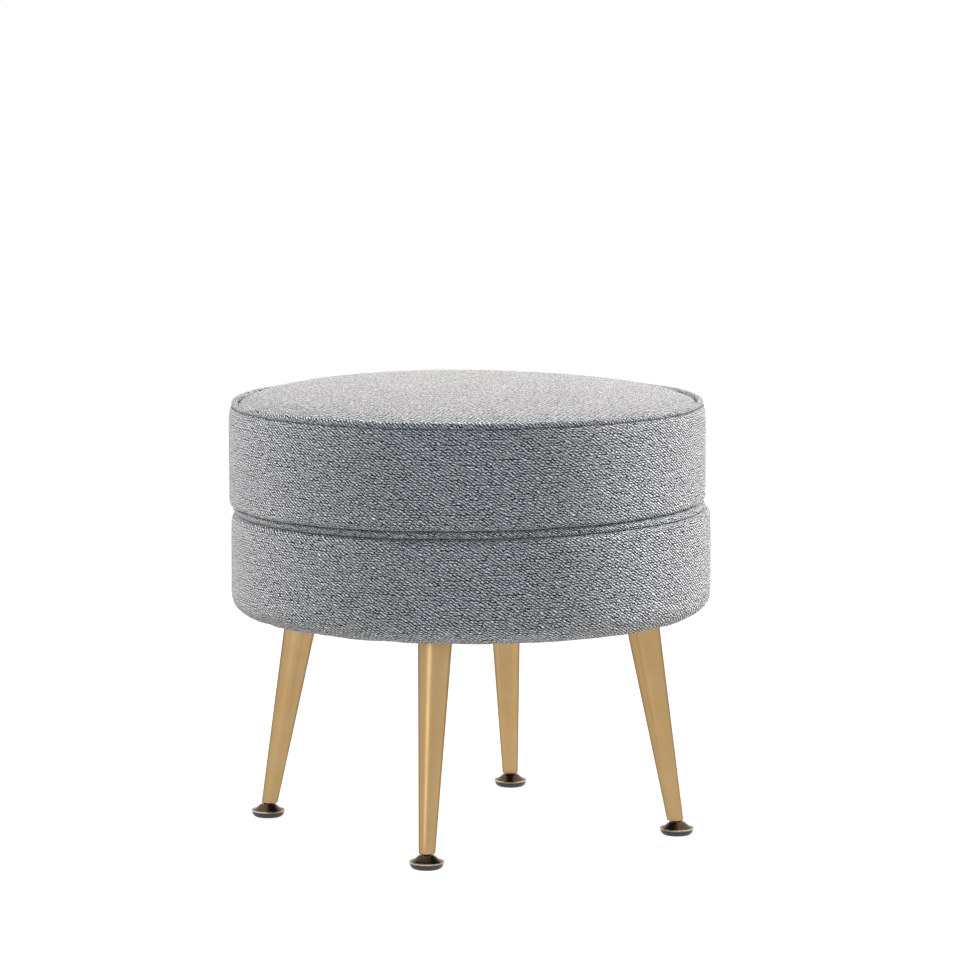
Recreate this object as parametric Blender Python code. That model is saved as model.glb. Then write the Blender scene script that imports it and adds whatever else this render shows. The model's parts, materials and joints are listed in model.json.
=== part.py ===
"""Round two-tier upholstered ottoman on four splayed, tapered legs with swivel glides.

Lengths are in metres and +Z is up. The origin lies on the floor under the drum's centre.
Leg 1 stands on +X and the others follow anticlockwise, a quarter turn apart.
"""

import math

import bmesh
import bpy
from mathutils import Matrix

# Drum: overall sizes of the two tiers
DRUM_RADIUS = 0.2365
UPPER_TIER_INSET = 0.0012
DRUM_UNDERSIDE = 0.2170
LOWER_TIER_HEIGHT = 0.1065
UPPER_TIER_HEIGHT = 0.1030
CROWN_RISE = 0.0195
CROWN_POWER = 2.9

# How the covers draw in, and where each tier is fullest. Angles in degrees are measured round a
# welt's cord from straight out, and name where the cover meets it.
UPPER_FULL_ABOVE_WAIST = 0.0370
LOWER_FULL_BELOW_WAIST = 0.0480
TOP_EDGE_DRAW = 0.0020
WAIST_DRAW_POWER = 5.0
UNDERSIDE_ROUND_HEIGHT = 0.0195
UNDERSIDE_ROUND_WIDTH = 0.0340
WAIST_CREASE_ANGLE = 75.0
PANEL_EDGE_ANGLE = 40.0
FOAM_SEAT_ANGLES = (200.0, 260.0)

# Cover cloth, welt cords and the clearance that every seated piece keeps
COVER_THICKNESS = 0.0012
SEAT_GAP = 0.0003
WAIST_WELT_INSET = 0.0075
WAIST_WELT_RADIUS = 0.0033
TOP_WELT_INSET = 0.0071
TOP_WELT_RADIUS = 0.0040
WELT_TAPE_THICKNESS = 0.0010
WAIST_HEM_WIDTH = 0.0440
UNDERSIDE_HEM_WIDTH = 0.0080
UNDERSIDE_HEM_RISE = 0.0032
DUST_COVER_THICKNESS = 0.0006
DUST_COVER_LAP = 0.0060

# Timber frame
FOAM_WRAP = 0.0317
SIDE_WALL_THICKNESS = 0.0030
BASE_BOARD_THICKNESS = 0.0150
FRAME_RING_THICKNESS = 0.0120
FRAME_RING_WIDTH = 0.0500
SEAT_BOARD_THICKNESS = 0.0120
SEAT_BOARD_EDGE_GAP = 0.0050
POST_WIDTH = 0.0400
POST_DEPTH = 0.0300
POST_WALL_GAP = 0.0100

# Bolts that hold the seat unit on the base unit
SEAT_BOLT_RADIUS = 0.0030
SEAT_BOLT_HEAD_RADIUS = 0.0060
SEAT_BOLT_HEAD_HEIGHT = 0.0040
SEAT_BOLT_GRIP_IN_BOARD = 0.0080
SEAT_BOLT_FROM_RING_EDGE = 0.0180

# Legs
LEG_COUNT = 4
LEG_INSET = 0.0651
LEG_SPLAY = math.radians(10.0)
LEG_TOP_RADIUS = 0.0165
LEG_END_RADIUS = 0.0079
LEG_WALL = 0.0013
LEG_PLATE_THICKNESS = 0.0030
LEG_PLATE_MARGIN = 0.0016
LEG_SCREWS_PER_PLATE = 3
LEG_SCREW_RADIUS = 0.0020
LEG_SCREW_HEAD_RADIUS = 0.0036
LEG_SCREW_HEAD_HEIGHT = 0.0024
LEG_SCREW_ROOM = 0.0016
LEG_SCREW_BITE = 0.0090
SCREW_HOLE_CLEARANCE = 0.0003
HEAD_FLAT_SHARE = 0.7
HEAD_SIDE_SHARE = 0.4
INSERT_LENGTH = 0.0180

# Swivel glides
GLIDE_RADIUS = 0.0172
GLIDE_HEIGHT = 0.0132
GLIDE_RIM_THICKNESS = 0.0017
GLIDE_CONE_FOOT_RADIUS = 0.0148
GLIDE_CONE_TOP_RADIUS = 0.0075
GLIDE_THROAT_RADIUS = 0.0052
GLIDE_CAP_WALL = 0.0009
GLIDE_EDGE_ROUND = 0.0004
GLIDE_BASE_INSET = 0.0010
GLIDE_BASE_HEIGHT = 0.0052
GLIDE_FLOOR_RADIUS = 0.0115
GLIDE_SOCKET_LIP = 0.0016
GLIDE_SOCKET_FLARE = 0.0010
BALL_RADIUS = 0.0040
BALL_HEIGHT = 0.0060
NECK_RADIUS = 0.0022
STEM_RADIUS = 0.0030
STEM_LENGTH = 0.0240
STEM_CHAMFER = 0.0006
COLLAR_RADIUS = 0.0042
COLLAR_THICKNESS = 0.0008
SWIVEL_GAP = 0.0014

# Facets round each turned piece
DRUM_SEGMENTS = 40
LEG_SEGMENTS = 20
GLIDE_SEGMENTS = 16
STEM_SEGMENTS = 10
SCREW_SEGMENTS = 8
WELT_SIDES = 8
SCREW_TURN = math.pi / SCREW_SEGMENTS

# Steps along each curved stretch of an outline
SIDE_STEPS = (0.0, 0.5, 0.85)
HEM_STEPS = 2
ROLL_STEPS = 4
CROWN_STEPS = 6
CROWN_INNER_STEPS = 5
BALL_STEPS = 5
BOWL_STEPS = 3

# Mesh settings
SMOOTH_ANGLE = math.radians(40.0)
MERGE_DISTANCE = 1e-6
EMPTY_SIZE = 0.02

# Heights of the layers, from the floor up
HEM_BOTTOM = DRUM_UNDERSIDE + UNDERSIDE_HEM_RISE
HEM_TOP = HEM_BOTTOM + COVER_THICKNESS
BASE_BOARD_BOTTOM = HEM_TOP + SEAT_GAP
BASE_BOARD_TOP = BASE_BOARD_BOTTOM + BASE_BOARD_THICKNESS
WAIST_Z = DRUM_UNDERSIDE + LOWER_TIER_HEIGHT
WAIST_HEM_OFFSET = WELT_TAPE_THICKNESS / 2 + SEAT_GAP
FRAME_RING_TOP = WAIST_Z - WAIST_HEM_OFFSET - COVER_THICKNESS - SEAT_GAP
FRAME_RING_BOTTOM = FRAME_RING_TOP - FRAME_RING_THICKNESS
SEAT_BOARD_BOTTOM = WAIST_Z + WAIST_HEM_OFFSET + COVER_THICKNESS + SEAT_GAP
SEAT_BOARD_TOP = SEAT_BOARD_BOTTOM + SEAT_BOARD_THICKNESS
TOP_WELT_Z = WAIST_Z + UPPER_TIER_HEIGHT
DUST_COVER_TOP = HEM_BOTTOM - SEAT_GAP
DUST_COVER_BOTTOM = DUST_COVER_TOP - DUST_COVER_THICKNESS
LEG_PLATE_TOP = DUST_COVER_BOTTOM - SEAT_GAP
LEG_PLATE_BOTTOM = LEG_PLATE_TOP - LEG_PLATE_THICKNESS
LEG_TOP = LEG_PLATE_BOTTOM - SEAT_GAP

# Radii that follow from the drum
UPPER_RADIUS = DRUM_RADIUS - UPPER_TIER_INSET
WAIST_WELT_RING = DRUM_RADIUS - WAIST_WELT_INSET
TOP_WELT_RING = DRUM_RADIUS - TOP_WELT_INSET
WAIST_HEM_INNER = WAIST_WELT_RING - WAIST_HEM_WIDTH
UNDERSIDE_ROUND_RADIUS = DRUM_RADIUS - UNDERSIDE_ROUND_WIDTH
SIDE_WALL_RADIUS = DRUM_RADIUS - COVER_THICKNESS - SEAT_GAP - FOAM_WRAP
BOARD_RADIUS = SIDE_WALL_RADIUS - SIDE_WALL_THICKNESS - SEAT_GAP
FRAME_RING_INNER = BOARD_RADIUS - FRAME_RING_WIDTH
SEAT_BOARD_RADIUS = WAIST_WELT_RING - SEAT_BOARD_EDGE_GAP
POST_RING = math.sqrt(BOARD_RADIUS**2 - (POST_WIDTH / 2) ** 2) - POST_WALL_GAP - POST_DEPTH / 2
SEAT_BOLT_RING = FRAME_RING_INNER + SEAT_BOLT_FROM_RING_EDGE
LEG_RING = DRUM_RADIUS - LEG_INSET
BALL_RING = LEG_RING + (LEG_TOP - BALL_HEIGHT) * math.tan(LEG_SPLAY)
LEG_SCREW_CIRCLE = (
    LEG_TOP_RADIUS / math.cos(LEG_SPLAY) + LEG_SCREW_HEAD_RADIUS + LEG_SCREW_ROOM
)
LEG_PLATE_RADIUS = LEG_SCREW_CIRCLE + LEG_SCREW_HEAD_RADIUS + LEG_PLATE_MARGIN
LEG_FULL = (LEG_TOP - BALL_HEIGHT) / math.cos(LEG_SPLAY)
LEG_END = (GLIDE_HEIGHT + SWIVEL_GAP - BALL_HEIGHT) / math.cos(LEG_SPLAY)
INSERT_END = LEG_END + LEG_END_RADIUS * math.tan(LEG_SPLAY)

# Finishes: colour, roughness and metallic value
COVER_GREY = ((0.190, 0.215, 0.232), 0.90, 0.0)
FOAM_CREAM = ((0.780, 0.720, 0.560), 0.95, 0.0)
PLYWOOD = ((0.560, 0.400, 0.240), 0.70, 0.0)
HARDBOARD = ((0.260, 0.160, 0.090), 0.80, 0.0)
DUST_BLACK = ((0.020, 0.020, 0.022), 0.95, 0.0)
ZINC_STEEL = ((0.550, 0.560, 0.570), 0.35, 1.0)
SATIN_BRASS = ((0.610, 0.410, 0.170), 0.32, 1.0)
ANTIQUE_BRASS = ((0.260, 0.150, 0.070), 0.30, 1.0)
GLIDE_BLACK = ((0.018, 0.014, 0.017), 0.40, 0.0)


def material(name, color, roughness, metallic):
    made = bpy.data.materials.new(name)
    made.use_nodes = True
    shader = made.node_tree.nodes["Principled BSDF"]
    shader.inputs["Base Color"].default_value = (*color, 1.0)
    shader.inputs["Roughness"].default_value = roughness
    shader.inputs["Metallic"].default_value = metallic
    made.diffuse_color = (*color, 1.0)
    return made


def finish_mesh(bm, name):
    """Closes a bmesh with outward faces, shades it smooth and returns it as a mesh."""
    bmesh.ops.remove_doubles(bm, verts=bm.verts, dist=MERGE_DISTANCE)
    bmesh.ops.recalc_face_normals(bm, faces=bm.faces)
    mesh = bpy.data.meshes.new(name)
    bm.to_mesh(mesh)
    bm.free()
    mesh.shade_smooth()
    mesh.set_sharp_from_angle(angle=SMOOTH_ANGLE)
    return mesh


def spin_profile(bm, profile, segments):
    """Turns an outline of (radius, height) points round Z. On the axis it starts and ends open."""
    verts = [bm.verts.new((radius, 0.0, height)) for radius, height in profile]
    edges = [bm.edges.new(pair) for pair in zip(verts, verts[1:])]
    if profile[0][0] > 0.0 or profile[-1][0] > 0.0:
        edges.append(bm.edges.new((verts[-1], verts[0])))
    bmesh.ops.spin(
        bm,
        geom=verts + edges,
        axis=(0.0, 0.0, 1.0),
        cent=(0.0, 0.0, 0.0),
        steps=segments,
        angle=math.tau,
    )
    bmesh.ops.remove_doubles(bm, verts=bm.verts, dist=MERGE_DISTANCE)


def turned(name, profile, segments=DRUM_SEGMENTS):
    bm = bmesh.new()
    spin_profile(bm, profile, segments)
    return finish_mesh(bm, name)


def add_cylinder(bm, radius, bottom, top, segments, centre=(0.0, 0.0), turn=0.0):
    made = bmesh.ops.create_cone(
        bm,
        cap_ends=True,
        segments=segments,
        radius1=radius,
        radius2=radius,
        depth=top - bottom,
        matrix=Matrix.Rotation(turn, 4, "Z"),
    )
    bmesh.ops.translate(bm, vec=(*centre, (bottom + top) / 2), verts=made["verts"])


def disc(name, bottom, top, radius, segments=DRUM_SEGMENTS):
    bm = bmesh.new()
    add_cylinder(bm, radius, bottom, top, segments)
    return finish_mesh(bm, name)


def hoop(name, bottom, top, radius, inner):
    return turned(name, [(inner, top), (radius, top), (radius, bottom), (inner, bottom)])


def place(name, mesh, finish, parent=None, location=(0.0, 0.0, 0.0), rotation=(0.0, 0.0, 0.0)):
    piece = bpy.data.objects.new(name, mesh)
    bpy.context.scene.collection.objects.link(piece)
    piece.parent = parent
    piece.location = location
    piece.rotation_euler = rotation
    if finish and not mesh.materials:
        mesh.materials.append(finish)
    return piece


def empty(name, location, rotation=(0.0, 0.0, 0.0), parent=None):
    made = bpy.data.objects.new(name, None)
    bpy.context.scene.collection.objects.link(made)
    made.parent = parent
    made.location = location
    made.rotation_euler = rotation
    made.empty_display_size = EMPTY_SIZE
    return made


def cutter(name, mesh, parent=None, location=(0.0, 0.0, 0.0), rotation=(0.0, 0.0, 0.0)):
    made = place(name, mesh, None, parent, location, rotation)
    made.hide_render = True
    made.display_type = "WIRE"
    return made


def cut(piece, tool):
    made = piece.modifiers.new(f"cut_{tool.name}", "BOOLEAN")
    made.operation = "DIFFERENCE"
    made.solver = "EXACT"
    made.object = tool


def arc(centre, width, height, start, end, steps):
    """Points on an ellipse from one angle to another, in degrees, both ends included."""
    points = []
    for step in range(steps + 1):
        angle = math.radians(start + (end - start) * step / steps)
        points.append((centre[0] + width * math.cos(angle), centre[1] + height * math.sin(angle)))
    return points


def quarter_turn(index):
    return index * math.tau / LEG_COUNT


def on_ring(radius, angle, height=0.0):
    return (radius * math.cos(angle), radius * math.sin(angle), height)


def round_waist_welt(inset, sign):
    """The cover's path from the crease, round behind the waist welt, to its hem."""
    reach = WAIST_WELT_RADIUS + SEAT_GAP + inset
    hem_angle = 180.0 - math.degrees(math.asin((WAIST_HEM_OFFSET + inset) / reach))
    start = sign * WAIST_CREASE_ANGLE
    return arc((WAIST_WELT_RING, WAIST_Z), reach, reach, start, sign * hem_angle, HEM_STEPS)


def draw_to_waist(inset, radius, full_z, sign):
    """The cover's side from its fullest height towards the waist crease."""
    crease_radius, crease_z = round_waist_welt(0.0, sign)[0]
    points = []
    for step in SIDE_STEPS:
        drawn = (radius - crease_radius) * step**WAIST_DRAW_POWER
        points.append((radius - drawn - inset, full_z + (crease_z - full_z) * step))
    return points


def upper_side(inset):
    """The upper tier's side, top to hem, at a depth below the cover's outer face.

    Above its fullest height it draws in along a parabola, so half way up by a quarter.
    """
    full_z = WAIST_Z + UPPER_FULL_ABOVE_WAIST
    top_z = TOP_WELT_Z - TOP_WELT_RADIUS
    drawn_top = (UPPER_RADIUS - TOP_EDGE_DRAW - inset, top_z)
    half_draw = TOP_EDGE_DRAW * 0.5**2
    half_way = (UPPER_RADIUS - half_draw - inset, (top_z + full_z) / 2)
    side = draw_to_waist(inset, UPPER_RADIUS, full_z, 1)
    return [drawn_top, half_way] + side + round_waist_welt(inset, 1)


def lower_side(inset):
    """The lower tier's side, from its waist hem down to the roll under the base board."""
    full_z = WAIST_Z - LOWER_FULL_BELOW_WAIST
    side = round_waist_welt(inset, -1)[::-1] + draw_to_waist(inset, DRUM_RADIUS, full_z, -1)[::-1]
    roll_centre = (UNDERSIDE_ROUND_RADIUS, DRUM_UNDERSIDE + UNDERSIDE_ROUND_HEIGHT)
    roll_width = UNDERSIDE_ROUND_WIDTH - inset
    roll_height = UNDERSIDE_ROUND_HEIGHT - inset
    return side + arc(roll_centre, roll_width, roll_height, 0.0, -90.0, ROLL_STEPS)


def crown(inset, edge_radius, steps):
    """The seat's top face from its edge to the axis."""
    rim_z = TOP_WELT_Z + TOP_WELT_RADIUS * math.sin(math.radians(PANEL_EDGE_ANGLE)) - inset
    points = []
    for step in range(steps + 1):
        share = 1.0 - step / steps
        points.append((edge_radius * share, rim_z + CROWN_RISE * (1.0 - share**CROWN_POWER)))
    return points


def add_covers():
    """Top panel, side bands and welts: sewn woven cloth with cord in the welts."""
    cloth = material("grey_tweed", *COVER_GREY)
    panel_edge = TOP_WELT_RING - TOP_WELT_RADIUS - SEAT_GAP
    panel = crown(0.0, panel_edge, CROWN_STEPS)[::-1]
    panel += crown(COVER_THICKNESS, panel_edge, CROWN_INNER_STEPS)
    place("top_panel", turned("top_panel", panel), cloth)

    ring = arc((TOP_WELT_RING, TOP_WELT_Z), TOP_WELT_RADIUS, TOP_WELT_RADIUS, 0.0, 360.0, WELT_SIDES)
    place("top_welt", turned("top_welt", ring[:-1]), cloth)

    upper_hem = [
        (WAIST_HEM_INNER, WAIST_Z + WAIST_HEM_OFFSET),
        (WAIST_HEM_INNER, WAIST_Z + WAIST_HEM_OFFSET + COVER_THICKNESS),
    ]
    upper = upper_side(0.0) + upper_hem + upper_side(COVER_THICKNESS)[::-1]
    place("upper_band", turned("upper_band", upper), cloth)

    tape = WELT_TAPE_THICKNESS / 2
    tape_angle = 180.0 - math.degrees(math.asin(tape / WAIST_WELT_RADIUS))
    welt = arc(
        (WAIST_WELT_RING, WAIST_Z),
        WAIST_WELT_RADIUS,
        WAIST_WELT_RADIUS,
        tape_angle,
        -tape_angle,
        WELT_SIDES,
    )
    welt += [(WAIST_HEM_INNER, WAIST_Z - tape), (WAIST_HEM_INNER, WAIST_Z + tape)]
    place("waist_welt", turned("waist_welt", welt), cloth)

    # Inside its roll the cover rises to the board, so that the leg plates hide above the roll
    hem_inner = UNDERSIDE_ROUND_RADIUS - UNDERSIDE_HEM_WIDTH
    hem_edge = hem_inner + DUST_COVER_LAP + SEAT_GAP
    under_hem = [
        (hem_edge, HEM_BOTTOM),
        (hem_inner, HEM_BOTTOM),
        (hem_inner, HEM_TOP),
        (hem_edge, HEM_TOP),
    ]
    waist_hem = [
        (WAIST_HEM_INNER, WAIST_Z - WAIST_HEM_OFFSET - COVER_THICKNESS),
        (WAIST_HEM_INNER, WAIST_Z - WAIST_HEM_OFFSET),
    ]
    lower = lower_side(0.0) + under_hem + lower_side(COVER_THICKNESS)[::-1] + waist_hem
    place("lower_band", turned("lower_band", lower), cloth)

    dust = disc("dust_cover", DUST_COVER_BOTTOM, DUST_COVER_TOP, hem_inner + DUST_COVER_LAP)
    return place("dust_cover", dust, material("dust_cloth", *DUST_BLACK))


def add_foam():
    """The crowned seat cushion and the wrap round the base unit, each just inside its cover."""
    foam = material("foam", *FOAM_CREAM)
    inset = COVER_THICKNESS + SEAT_GAP
    top_edge = TOP_WELT_RING - TOP_WELT_RADIUS - inset - SEAT_GAP
    welt_reach = TOP_WELT_RADIUS + SEAT_GAP
    welt_centre = (TOP_WELT_RING, TOP_WELT_Z)
    welt_seat = arc(welt_centre, welt_reach, welt_reach, *FOAM_SEAT_ANGLES, HEM_STEPS)
    side = upper_side(inset)[:-1]
    board_edge = SEAT_BOARD_RADIUS + SEAT_GAP
    board_seat = SEAT_BOARD_TOP + SEAT_GAP
    lip = [(board_edge, side[-1][1]), (board_edge, board_seat), (0.0, board_seat)]
    seat = crown(inset, top_edge, CROWN_INNER_STEPS)[::-1] + welt_seat + side + lip
    place("seat_foam", turned("seat_foam", seat), foam)

    wall_face = SIDE_WALL_RADIUS + SEAT_GAP
    roll_edge = UNDERSIDE_ROUND_HEIGHT - inset
    roll_width = UNDERSIDE_ROUND_WIDTH - inset
    along = (wall_face - UNDERSIDE_ROUND_RADIUS) / roll_width
    roll_end = math.degrees(math.acos(along))
    roll_centre = (UNDERSIDE_ROUND_RADIUS, DRUM_UNDERSIDE + UNDERSIDE_ROUND_HEIGHT)
    roll = arc(roll_centre, roll_width, roll_edge, 0.0, -roll_end, ROLL_STEPS)
    wrap = lower_side(inset)[: -len(roll)] + roll + [(wall_face, FRAME_RING_TOP)]
    place("lower_foam", turned("lower_foam", wrap), foam)


def add_frame():
    """Plywood discs and ring, corner posts and the bent hardboard wall of the base unit."""
    plywood = material("plywood", *PLYWOOD)
    base = place(
        "base_board",
        disc("base_board", BASE_BOARD_BOTTOM, BASE_BOARD_TOP, BOARD_RADIUS),
        plywood,
    )
    ring = place(
        "frame_ring",
        hoop("frame_ring", FRAME_RING_BOTTOM, FRAME_RING_TOP, BOARD_RADIUS, FRAME_RING_INNER),
        plywood,
    )
    seat = place(
        "seat_board",
        disc("seat_board", SEAT_BOARD_BOTTOM, SEAT_BOARD_TOP, SEAT_BOARD_RADIUS),
        plywood,
    )
    wall_inner = SIDE_WALL_RADIUS - SIDE_WALL_THICKNESS
    wall = hoop("side_wall", BASE_BOARD_BOTTOM, FRAME_RING_TOP, SIDE_WALL_RADIUS, wall_inner)
    place("side_wall", wall, material("hardboard", *HARDBOARD))

    post_bottom = BASE_BOARD_TOP + SEAT_GAP
    post_height = FRAME_RING_BOTTOM - SEAT_GAP - post_bottom
    bm = bmesh.new()
    bmesh.ops.create_cube(bm, size=1.0)
    bmesh.ops.scale(bm, vec=(POST_DEPTH, POST_WIDTH, post_height), verts=bm.verts)
    post = finish_mesh(bm, "post")
    for index in range(LEG_COUNT):
        angle = quarter_turn(index + 0.5)
        middle = on_ring(POST_RING, angle, post_bottom + post_height / 2)
        place(f"post_{index + 1}", post, plywood, None, middle, (0.0, 0.0, angle))
    return base, ring, seat


def fastener_profile(radius, length, head_radius, head_height):
    """A domed head below its bearing face at zero, and a pointed shank above it."""
    return [
        (0.0, -head_height),
        (head_radius * HEAD_FLAT_SHARE, -head_height),
        (head_radius, -head_height * HEAD_SIDE_SHARE),
        (head_radius, 0.0),
        (radius, 0.0),
        (radius, length - radius),
        (0.0, length),
    ]


def add_seat_bolts(ring, seat):
    """Machine bolts from inside the base unit, up through its ring into the seat board."""
    steel = material("zinc_steel", *ZINC_STEEL)
    bearing = FRAME_RING_BOTTOM - SEAT_GAP
    length = SEAT_BOARD_BOTTOM + SEAT_BOLT_GRIP_IN_BOARD - bearing
    profile = fastener_profile(
        SEAT_BOLT_RADIUS, length, SEAT_BOLT_HEAD_RADIUS, SEAT_BOLT_HEAD_HEIGHT
    )
    bolt = turned("seat_bolt", profile, SCREW_SEGMENTS)
    hole_radius = SEAT_BOLT_RADIUS + SCREW_HOLE_CLEARANCE
    hole_end = length + SCREW_HOLE_CLEARANCE
    hole = disc("seat_bolt_hole", -SEAT_BOLT_HEAD_HEIGHT, hole_end, hole_radius, SCREW_SEGMENTS)
    turn = (0.0, 0.0, SCREW_TURN)
    for index in range(LEG_COUNT):
        spot = on_ring(SEAT_BOLT_RING, quarter_turn(index), bearing)
        place(f"seat_bolt_{index + 1}", bolt, steel, None, spot, turn)
        tool = cutter(f"seat_bolt_hole_{index + 1}", hole, None, spot, turn)
        cut(ring, tool)
        cut(seat, tool)
    return steel


def screw_spots():
    """Screw places on a leg plate, from its centre: one inwards and the rest spread evenly."""
    spots = []
    for index in range(LEG_SCREWS_PER_PLATE):
        angle = math.pi + index * math.tau / LEG_SCREWS_PER_PLATE
        spots.append(on_ring(LEG_SCREW_CIRCLE, angle, LEG_TOP))
    return spots


def screw_hole_mesh(length):
    """The holes of one leg plate as a cutter, from below the plate to past the screw tips."""
    bm = bmesh.new()
    radius = LEG_SCREW_RADIUS + SCREW_HOLE_CLEARANCE
    for across, along, bearing in screw_spots():
        bottom = bearing - LEG_SCREW_HEAD_HEIGHT
        top = bearing + length + SCREW_HOLE_CLEARANCE
        add_cylinder(bm, radius, bottom, top, SCREW_SEGMENTS, (across, along), SCREW_TURN)
    return finish_mesh(bm, "leg_screw_holes")


def leg_radius(along):
    """Outer radius of a leg at a distance up its axis from the ball's centre."""
    share = (along - LEG_END) / (LEG_FULL - LEG_END)
    return LEG_END_RADIUS + (LEG_TOP_RADIUS - LEG_END_RADIUS) * share


def cut_level(bm, along, keep_above):
    """Cuts a leaning tube level at a distance up its axis, and closes the cut wall."""
    cut_edges = bmesh.ops.bisect_plane(
        bm,
        geom=bm.verts[:] + bm.edges[:] + bm.faces[:],
        plane_co=(0.0, 0.0, along),
        plane_no=(math.sin(LEG_SPLAY), 0.0, math.cos(LEG_SPLAY)),
        clear_inner=keep_above,
        clear_outer=not keep_above,
    )["geom_cut"]
    rim = [item for item in cut_edges if isinstance(item, bmesh.types.BMEdge)]
    bmesh.ops.bridge_loops(bm, edges=rim)


def leg_tube_mesh():
    """A tapered tube along its axis, cut level over the glide and under its plate."""
    past = LEG_FULL + LEG_TOP_RADIUS
    before = LEG_END - LEG_END_RADIUS
    profile = [
        (leg_radius(past), past),
        (leg_radius(before), before),
        (leg_radius(before) - LEG_WALL, before),
        (leg_radius(past) - LEG_WALL, past),
    ]
    bm = bmesh.new()
    spin_profile(bm, profile, LEG_SEGMENTS)
    cut_level(bm, LEG_FULL, keep_above=False)
    cut_level(bm, LEG_END, keep_above=True)
    return finish_mesh(bm, "leg_tube")


def insert_mesh():
    """The threaded plug pressed into a leg's end, just inside the level cut."""
    top = INSERT_END + INSERT_LENGTH
    bore = STEM_RADIUS + SCREW_HOLE_CLEARANCE
    profile = [
        (bore, top),
        (leg_radius(top) - LEG_WALL - SEAT_GAP, top),
        (leg_radius(INSERT_END) - LEG_WALL - SEAT_GAP, INSERT_END),
        (bore, INSERT_END),
    ]
    return turned("leg_insert", profile, STEM_SEGMENTS)


def stem_mesh():
    """The levelling screw: ball, neck, stop collar and shank, with the ball's centre at zero."""
    neck = math.degrees(math.acos(NECK_RADIUS / BALL_RADIUS))
    ball = arc((0.0, 0.0), BALL_RADIUS, BALL_RADIUS, -90.0, neck, BALL_STEPS)
    collar_top = INSERT_END - SEAT_GAP
    collar_bottom = collar_top - COLLAR_THICKNESS
    end = collar_top + STEM_LENGTH
    profile = [(0.0, -BALL_RADIUS)] + ball[1:]
    profile += [
        (NECK_RADIUS, collar_bottom),
        (COLLAR_RADIUS, collar_bottom),
        (COLLAR_RADIUS, collar_top),
        (STEM_RADIUS, collar_top),
        (STEM_RADIUS, end - STEM_CHAMFER),
        (STEM_RADIUS - STEM_CHAMFER, end),
        (0.0, end),
    ]
    return turned("glide_stem", profile, STEM_SEGMENTS)


def from_ball(points):
    """Glide heights are written from the floor, and its meshes hang from the ball's centre."""
    return [(radius, height - BALL_HEIGHT) for radius, height in points]


def cone_face(depth, height):
    """Radius of the glide's cone at a height, at a depth below its outer face."""
    rim_top = GLIDE_BASE_HEIGHT + SEAT_GAP + GLIDE_RIM_THICKNESS
    slope = (GLIDE_CONE_FOOT_RADIUS - GLIDE_CONE_TOP_RADIUS) / (GLIDE_HEIGHT - rim_top)
    return GLIDE_CONE_FOOT_RADIUS - depth * math.hypot(1.0, slope) - slope * (height - rim_top)


def glide_cap_mesh():
    """The spun brass cone with its rolled rim, open at the throat for the neck to lean."""
    rim_bottom = GLIDE_BASE_HEIGHT + SEAT_GAP
    rim_top = rim_bottom + GLIDE_RIM_THICKNESS
    under = GLIDE_HEIGHT - GLIDE_CAP_WALL
    edge = GLIDE_EDGE_ROUND
    profile = [
        (GLIDE_THROAT_RADIUS, GLIDE_HEIGHT),
        (GLIDE_CONE_TOP_RADIUS - edge, GLIDE_HEIGHT),
        (cone_face(0.0, GLIDE_HEIGHT - edge), GLIDE_HEIGHT - edge),
        (GLIDE_CONE_FOOT_RADIUS, rim_top),
        (GLIDE_RADIUS - edge, rim_top),
        (GLIDE_RADIUS, rim_top - edge),
        (GLIDE_RADIUS, rim_bottom + edge),
        (GLIDE_RADIUS - edge, rim_bottom),
        (cone_face(GLIDE_CAP_WALL, rim_bottom), rim_bottom),
        (cone_face(GLIDE_CAP_WALL, under), under),
        (GLIDE_THROAT_RADIUS, under),
    ]
    return turned("glide_cap", from_ball(profile), GLIDE_SEGMENTS)


def glide_base_mesh():
    """The black moulded base: a bowl to the floor, a plug in the cone and the ball's socket."""
    outer = GLIDE_RADIUS - GLIDE_BASE_INSET
    bowl = arc(
        (GLIDE_FLOOR_RADIUS, GLIDE_BASE_HEIGHT),
        outer - GLIDE_FLOOR_RADIUS,
        GLIDE_BASE_HEIGHT,
        -90.0,
        0.0,
        BOWL_STEPS,
    )
    plug_top = GLIDE_HEIGHT - GLIDE_CAP_WALL - SEAT_GAP
    plug_depth = GLIDE_CAP_WALL + SEAT_GAP
    socket = BALL_RADIUS + SEAT_GAP
    lip_angle = math.degrees(math.asin(GLIDE_SOCKET_LIP / socket))
    cup = arc((0.0, BALL_HEIGHT), socket, socket, lip_angle, -90.0, BALL_STEPS)
    profile = [(0.0, 0.0)] + bowl
    profile += [
        (cone_face(plug_depth, GLIDE_BASE_HEIGHT), GLIDE_BASE_HEIGHT),
        (cone_face(plug_depth, plug_top), plug_top),
        (cup[0][0] + GLIDE_SOCKET_FLARE, plug_top),
    ]
    profile += cup[:-1] + [(0.0, BALL_HEIGHT - socket)]
    return turned("glide_base", from_ball(profile), GLIDE_SEGMENTS)


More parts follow.
